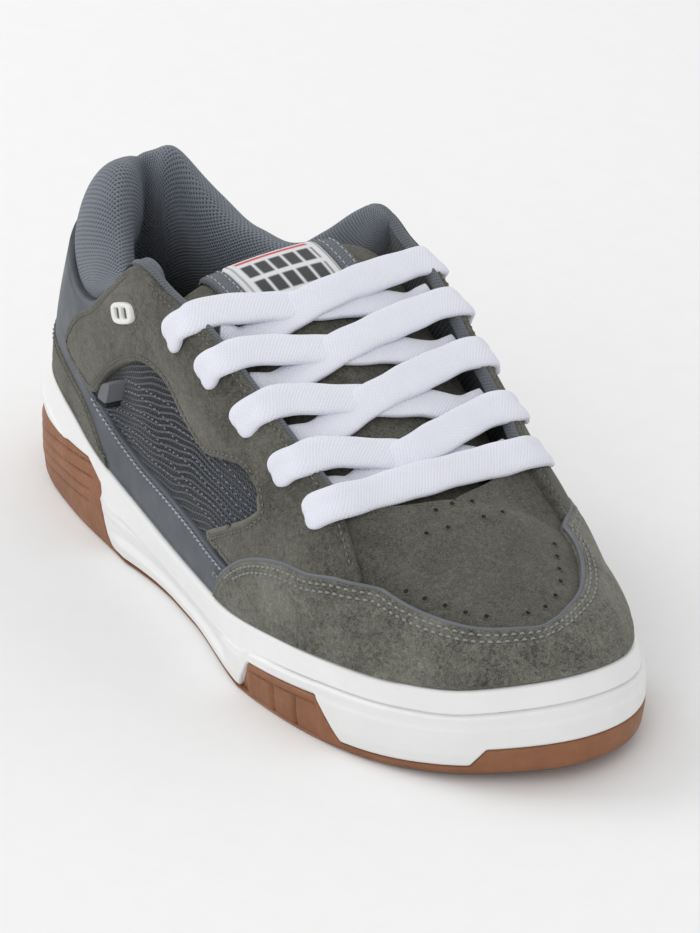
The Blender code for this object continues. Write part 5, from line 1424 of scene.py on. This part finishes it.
def on_crown(name, low_y, high_y, start, stop, thickness, finish, **how):
    """Thin plate on the tongue's top between two places across and two along it, its edges rounded down."""
    columns, rows = 40, 46
    u, v = np.linspace(0, 1, columns), np.linspace(0, 1, rows)
    broad, long = high_y - low_y, abs(stop - start) * SOLE_LENGTH
    place, share = np.meshgrid(start + (stop - start) * v, low_y + (high_y - low_y) * u, indexing="ij")
    lateral, medial = (smooth(TONGUE_ROWS, c, place) * SOLE_WIDTH / 2 for c in (2, 3))
    across = np.where(share < 0, share / lateral, share / medial)
    base = tongue_surface(place, across)
    rim = np.minimum(np.minimum(u, 1 - u)[None] * broad, np.minimum(v, 1 - v)[:, None] * long)
    lift = thickness * np.sqrt(np.clip(1 - (1 - np.clip(rim / 0.0006, 0, 1)) ** 2, 0, 1))
    high, low = base + up * (0.0001 + lift)[..., None], base - up * 0.0006
    faces = grid_faces(rows, columns, wrap=False)
    count = rows * columns
    right, far = np.arange(1, rows) * columns + columns - 1, (rows - 1) * columns + np.arange(columns - 2, -1, -1)
    around = np.concatenate([np.arange(columns), right, far, np.arange(rows - 2, 0, -1) * columns])
    skirt = np.column_stack([around, np.roll(around, -1), np.roll(around, -1) + count, around + count])
    points = np.concatenate([high.reshape(-1, 3), low.reshape(-1, 3)])
    flat_uv = np.stack(np.meshgrid(u * broad, v * long), -1).reshape(-1, 2)
    quads = np.concatenate([faces, faces[:, ::-1] + count, skirt])
    return add_piece(name, points, quads, finish, uv=np.concatenate([flat_uv, flat_uv])[quads], **how)


label_span = LABEL_LENGTH / SOLE_LENGTH / 2
on_crown(
    "tongue_label_woven", -LABEL_WIDTH / 2, LABEL_WIDTH / 2, LABEL_ALONG + label_span, LABEL_ALONG - label_span,
    LABEL_THICKNESS, label_finish, stands_for=("tongue_label",), slot="woven_label",
)
STRIP_WIDTH, STRIP_GAP, STRIP_SPAN = 0.0070, 0.0002, (0.478, 0.386)
for where, low_y in (("lateral", -LABEL_WIDTH / 2 - STRIP_WIDTH - STRIP_GAP), ("medial", LABEL_WIDTH / 2 + STRIP_GAP)):
    on_crown(f"tongue_strip_{where}", low_y, low_y + STRIP_WIDTH, *STRIP_SPAN, 0.0009, binding_cloth, slot="lining")
    for k in (0.0016, 0.0054):
        places = np.linspace(0.476, 0.389, 60)
        reach = smooth(TONGUE_ROWS, 2 if low_y < 0 else 3, places) * SOLE_WIDTH / 2
        line = tongue_surface(places, (low_y + k) / reach) + up * 0.0011
        path = [(line, np.broadcast_to(up, line.shape))]
        sew(f"strip_stitches_{where}_{int(k * 1e4)}", path, pale_thread, radius=0.0003)

# %% [markdown]
# ## The laces
# A flat tubular lace has a soft oval section and a knitted face. Every strand folds over the throat's edge at its
# own eyelet, crosses the tongue and dives under the other side, half to three quarters of a row farther down. The
# route is a smooth curve through a few points with the way that the flat face looks at each, and the section is
# carried along it.


# %% Where the tongue lies under a point, and which way it looks
def tongue_top(x, y):
    along = x / SOLE_LENGTH + 0.5
    reach = smooth(TONGUE_ROWS, 2 if y < 0 else 3, np.array([along]))[0] * SOLE_WIDTH / 2
    height = tongue_surface(np.array([along]), np.array([np.clip(y / reach, -1, 1)]))[0, 2]
    return height + (LABEL_THICKNESS + 2 * GAP) * np.interp(along, (0.47, 0.52), (1.0, 0.0))


def tongue_look(x, y):
    step = 0.003
    look = np.array([
        (tongue_top(x - step, y) - tongue_top(x + step, y)) / 2 / step,
        (tongue_top(x, y - step) - tongue_top(x, y + step)) / 2 / step,
        1.0,
    ])
    return look / np.linalg.norm(look)


def on_panel(row, side, share, lift):
    """Point over the panel between a row's eyelet (share 0) and the throat's edge (share 1), and the way it looks.
    A row between two whole ones is read between their eyelets."""
    place, low, slant = (np.interp(row, range(len(EYELET_ROWS)), column) for column in zip(*EYELET_ROWS))
    along, which, level = np.array([place + slant * share]), np.array([side]), np.array([low + share * (1 - low)])
    normal = upper_normal(along, which, level)[0]
    return upper_point(along, which, level)[0] + normal * lift, normal


# %% Routes of the bar and of the crossing strands
def fold(row, side):
    """From the eyelet over the throat's edge."""
    lift = LIFT + OVERLAY_THICKNESS + 2 * GAP + LACE_THICKNESS / 2 - LACE_SINK / 2
    edge, normal = on_panel(row, side, 1.0, 0.0)
    look = tongue_look(edge[0], 0.0)
    made = []
    for share, turned, raised in ((0.08, 0.35, 0.0), (0.48, 0.5, -0.0002), (0.9, 0.8, -0.0007)):
        point, normal = on_panel(row, side, share, lift + raised)
        made.append((point, unit(normal * (1 - turned) + look * turned)))
    return made + [(edge + look * (lift - 0.0018) + np.array([0.0, -side * 0.008, 0.0]), look)]


CROSSING_SHARE = 0.42


def strand(first, last, side, raised):
    """Over its own edge, up to the tongue's crown and down its slope, then under the other edge; raised lifts it
    where the strands cross."""
    route = fold(first, side)
    under, normal = on_panel(last, -side, 0.8, -(UPPER_WALL + 2 * GAP + LACE_THICKNESS / 2))
    here, there = route[-1][0], on_panel(last, -side, 1.0, 0.0)[0]
    for share in (CROSSING_SHARE, 0.66, 0.88):
        x, y = here[:2] + (np.array([there[0], there[1] * 0.9]) - here[:2]) * share
        look = tongue_look(x, y)
        over = LACE_THICKNESS / 2 + 2 * GAP + raised * bell(share, CROSSING_SHARE, 0.2)
        route.append((np.array([x, y, tongue_top(x, y)]) + look * over, look))
    return route + [(under, normal)]


def bar_route(row):
    left, right = fold(row, LATERAL), fold(row, MEDIAL)
    first, last = left[-1], right[-1]
    middle = [(first[0] + (last[0] - first[0]) * share + 0.0006 * first[1], first[1]) for share in (0.33, 0.67)]
    return left + middle + right[::-1]


def spline(points, steps):
    """Smooth curve through points given as rows, with this many steps between each two."""
    points = np.asarray(points, float)
    padded = np.vstack([2 * points[0] - points[1], points, 2 * points[-1] - points[-2]])
    t = np.linspace(0, 1, steps, endpoint=False)[:, None]
    made = []
    for a, b, c, d in zip(padded, padded[1:], padded[2:], padded[3:]):
        made.append(0.5 * (2 * b + (c - a) * t + (2 * a - 5 * b + 4 * c - d) * t**2 + (3 * b - a - 3 * c + d) * t**3))
    return np.vstack(made + [points[-1:]])


# %% The lace's soft oval section along a route
def lace(name, route, ends_shown, **how):
    """The section is a squashed oval whose width and thickness waver a little. Near an end that shows they follow a
    quarter circle down to the eyelet, and two soft ridges run into it."""
    points, looks = spline([p for p, _ in route], 14), unit(spline([n for _, n in route], 14))
    soft = np.ones(7) / 7
    padded = np.concatenate([2 * points[0] - points[3:0:-1], points, 2 * points[-1] - points[-2:-5:-1]])
    points = np.column_stack([np.convolve(padded[:, k], soft, mode="valid") for k in range(3)])
    run = unit(np.gradient(points, axis=0))
    across = unit(np.cross(run, looks))
    out = np.cross(across, run)
    length = run_length(points)
    turn = np.arange(30) * np.pi / 15
    flat, tall = squared(np.cos(turn), 0.70), squared(np.sin(turn), 0.62)
    wide, high, ridged = np.ones(len(points)), np.ones(len(points)), np.zeros(len(points))
    for shown, off in zip(ends_shown, (length, length[-1] - length)):
        if shown:
            close = np.clip(off / 0.0042, 0.0, 1)
            quarter = np.sqrt(np.clip(1 - (1 - close) ** 2, 0, 1))
            wide *= 0.50 + 0.50 * quarter
            high *= 0.25 + 0.75 * quarter
            ridged += np.exp(-off / 0.007)
    wobble = 1 + 0.035 * np.sin(length * 210 + points[0, 1] * 900) + 0.02 * np.sin(length * 470)
    wide = wide * wobble * LACE_WIDTH / 2
    plump = high * (1 + 0.06 * np.sin(length * 160 + 1.0)) * LACE_THICKNESS / 2
    valley = 0.0009 * ridged[:, None] * bell(flat[None], 0.0, 0.25) * (np.sin(turn) > 0)[None]
    rim_roll = 1 + 0.10 * np.abs(flat) ** 3
    sideways, outwards = wide[:, None] * flat[None], plump[:, None] * (tall * rim_roll)[None] - valley
    rings = points[:, None] + across[:, None] * sideways[..., None] + out[:, None] * outwards[..., None]
    return loft(name, rings, lace_knit, slot="lace_cotton", **how)


DIVE_LATERAL, DIVE_MEDIAL = 0.75, 0.55
last_row = len(EYELET_ROWS) - 1
lace("lace_bar", bar_route(last_row), (True, True), stands_for=("laces",))
for row in range(last_row):
    lace(f"lace_lateral_{row + 1}", strand(row, row + DIVE_LATERAL, LATERAL, 0.0), (True, False))
    over_it = strand(row, row + DIVE_MEDIAL, MEDIAL, LACE_THICKNESS - LACE_SINK)
    lace(f"lace_medial_{row + 1}", over_it, (True, False))

# %% [markdown]
# ## Bindings and the inside
# A grey binding wraps the raw edge of each ankle panel along the throat. Inside lies a cloth-topped insole.

# %% Throat bindings
for side, label in SIDES:
    along = np.linspace(0.352, 0.742, 220)
    which, level = np.full(len(along), side), np.ones(len(along))
    path = upper_point(along, which, level) - upper_normal(along, which, 0.97 * level) * 0.0004
    looks = unit(np.column_stack([0 * level, -side * level, 0.6 * level]))
    rod("throat_binding_" + label, path, looks, 0.0042, 0.0024, binding_cloth, sides=16, power=2.4, slot="lining")

# %% Insole
insole_along, insole_side = loop_of(even_stations(121))
inset = FEATHER_INSET + UPPER_WALL + GAP
base_height = floor_height(insole_along) + GAP
round_start = base_height + INSOLE_THICKNESS - INSOLE_ROUND
insole_rings = [ring(insole_along, insole_side, inset, base_height)]
for turn in np.linspace(0, np.pi / 2, 6):
    drawn_in, level = inset + 0.0015 * (1 - np.cos(turn)), round_start + INSOLE_ROUND * np.sin(turn)
    insole_rings.append(ring(insole_along, insole_side, drawn_in, level))
insole = across_the_sole(insole_rings[0], 3)[::-1] + insole_rings + across_the_sole(insole_rings[-1], 10)
# The insole's near-black cloth is painted shade for the dark inside the shoe.
loft("insole_cloth", insole, inner_cloth_painted_shade, ends=False, stands_for=("insole",), slot="lining")

# %% [markdown]
# ## Floor, light and camera
# The shoe stands on a pale seamless floor under two broad soft lights and a bright sky, so its shadow is faint. The
# camera keeps the photographer's angle and distance, and a longer lens frames the one shoe.

# %% Floor and sky
floor_finish, tree, shader = finish_of("studio_floor", (0.86, 0.86, 0.86), 0.9, Specular_IOR_Level=0.1)
paper = use(tree, grain, Cells=300.0, Unevenness=0.3)
tone = spread(tree, paper["Mottle"], 0.3, 0.7)
tree.links.new(tinted(tree, tone, (0.855, 0.855, 0.855, 1), (0.87, 0.87, 0.87, 1)), shader.inputs["Base Color"])
FLOOR_REACH, FLOOR_CORNERS = 6, ((-1, -1), (1, -1), (1, 1), (-1, 1))
floor_mesh = bpy.data.meshes.new("floor")
floor_mesh.from_pydata([(x * FLOOR_REACH, y * FLOOR_REACH, 0) for x, y in FLOOR_CORNERS], [], [(0, 1, 2, 3)])
floor_mesh.materials.append(floor_finish)
floor = bpy.data.objects.new("floor", floor_mesh)
bpy.context.scene.collection.objects.link(floor)
floor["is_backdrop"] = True
world = bpy.data.worlds.new("studio")
bpy.context.scene.world = world
world.use_nodes = True
world.node_tree.nodes["Background"].inputs["Color"].default_value = (1.0, 1.0, 1.0, 1)
world.node_tree.nodes["Background"].inputs["Strength"].default_value = 0.80
bpy.context.scene.view_settings.view_transform = "Standard"


# %% Lights
def soft_light(name, place, target, size, power):
    data = bpy.data.lights.new(name, "AREA")
    data.shape, data.size, data.energy = "DISK", size, power
    light = bpy.data.objects.new(name, data)
    light.location = place
    light.rotation_euler = (Vector(target) - Vector(place)).to_track_quat("-Z", "Y").to_euler()
    bpy.context.scene.collection.objects.link(light)


soft_light("key", (-1.16, -0.67, 1.5), (0, 0, 0.03), 1.1, 11.0)
soft_light("fill", (1.2, -1.5, 1.3), (0, 0, 0.05), 1.2, 6.5)

# %% Camera
azimuth, elevation, distance, shift_right, shift_up = np.radians(56.7), np.radians(25.8), 1.8, 0.0782, 0.0452
image_width, image_height, sensor = 700, 933, 36.0
photo_lens = 3344.0
back = np.array([np.sin(azimuth) * np.cos(elevation), -np.cos(azimuth) * np.cos(elevation), np.sin(elevation)])
right = np.array([np.cos(azimuth), np.sin(azimuth), 0.0])
above = np.cross(back, right)
eye = back * distance + right * shift_right + above * shift_up
aim_pixel, zoom = (222.0, 474.0), 1.66
aim_right, aim_down = aim_pixel[0] - image_width / 2, aim_pixel[1] - image_height / 2
aim = unit(-back + right * aim_right / photo_lens - above * aim_down / photo_lens)
camera_data = bpy.data.cameras.new("camera")
camera_data.sensor_width = sensor
camera_data.lens = photo_lens * zoom / image_height * sensor
camera_data.clip_end = 50
camera = bpy.data.objects.new("camera", camera_data)
camera.location = eye
camera.rotation_mode = "QUATERNION"
camera.rotation_quaternion = Vector(aim).to_track_quat("-Z", "Y")
bpy.context.scene.collection.objects.link(camera)
bpy.context.scene.camera = camera
print("lens:", round(camera_data.lens, 1), "mm")

# %% Sizes and the end
total = sum(len(face.vertices) - 2 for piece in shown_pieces() for face in piece.data.polygons)
print("triangles in all:", total)
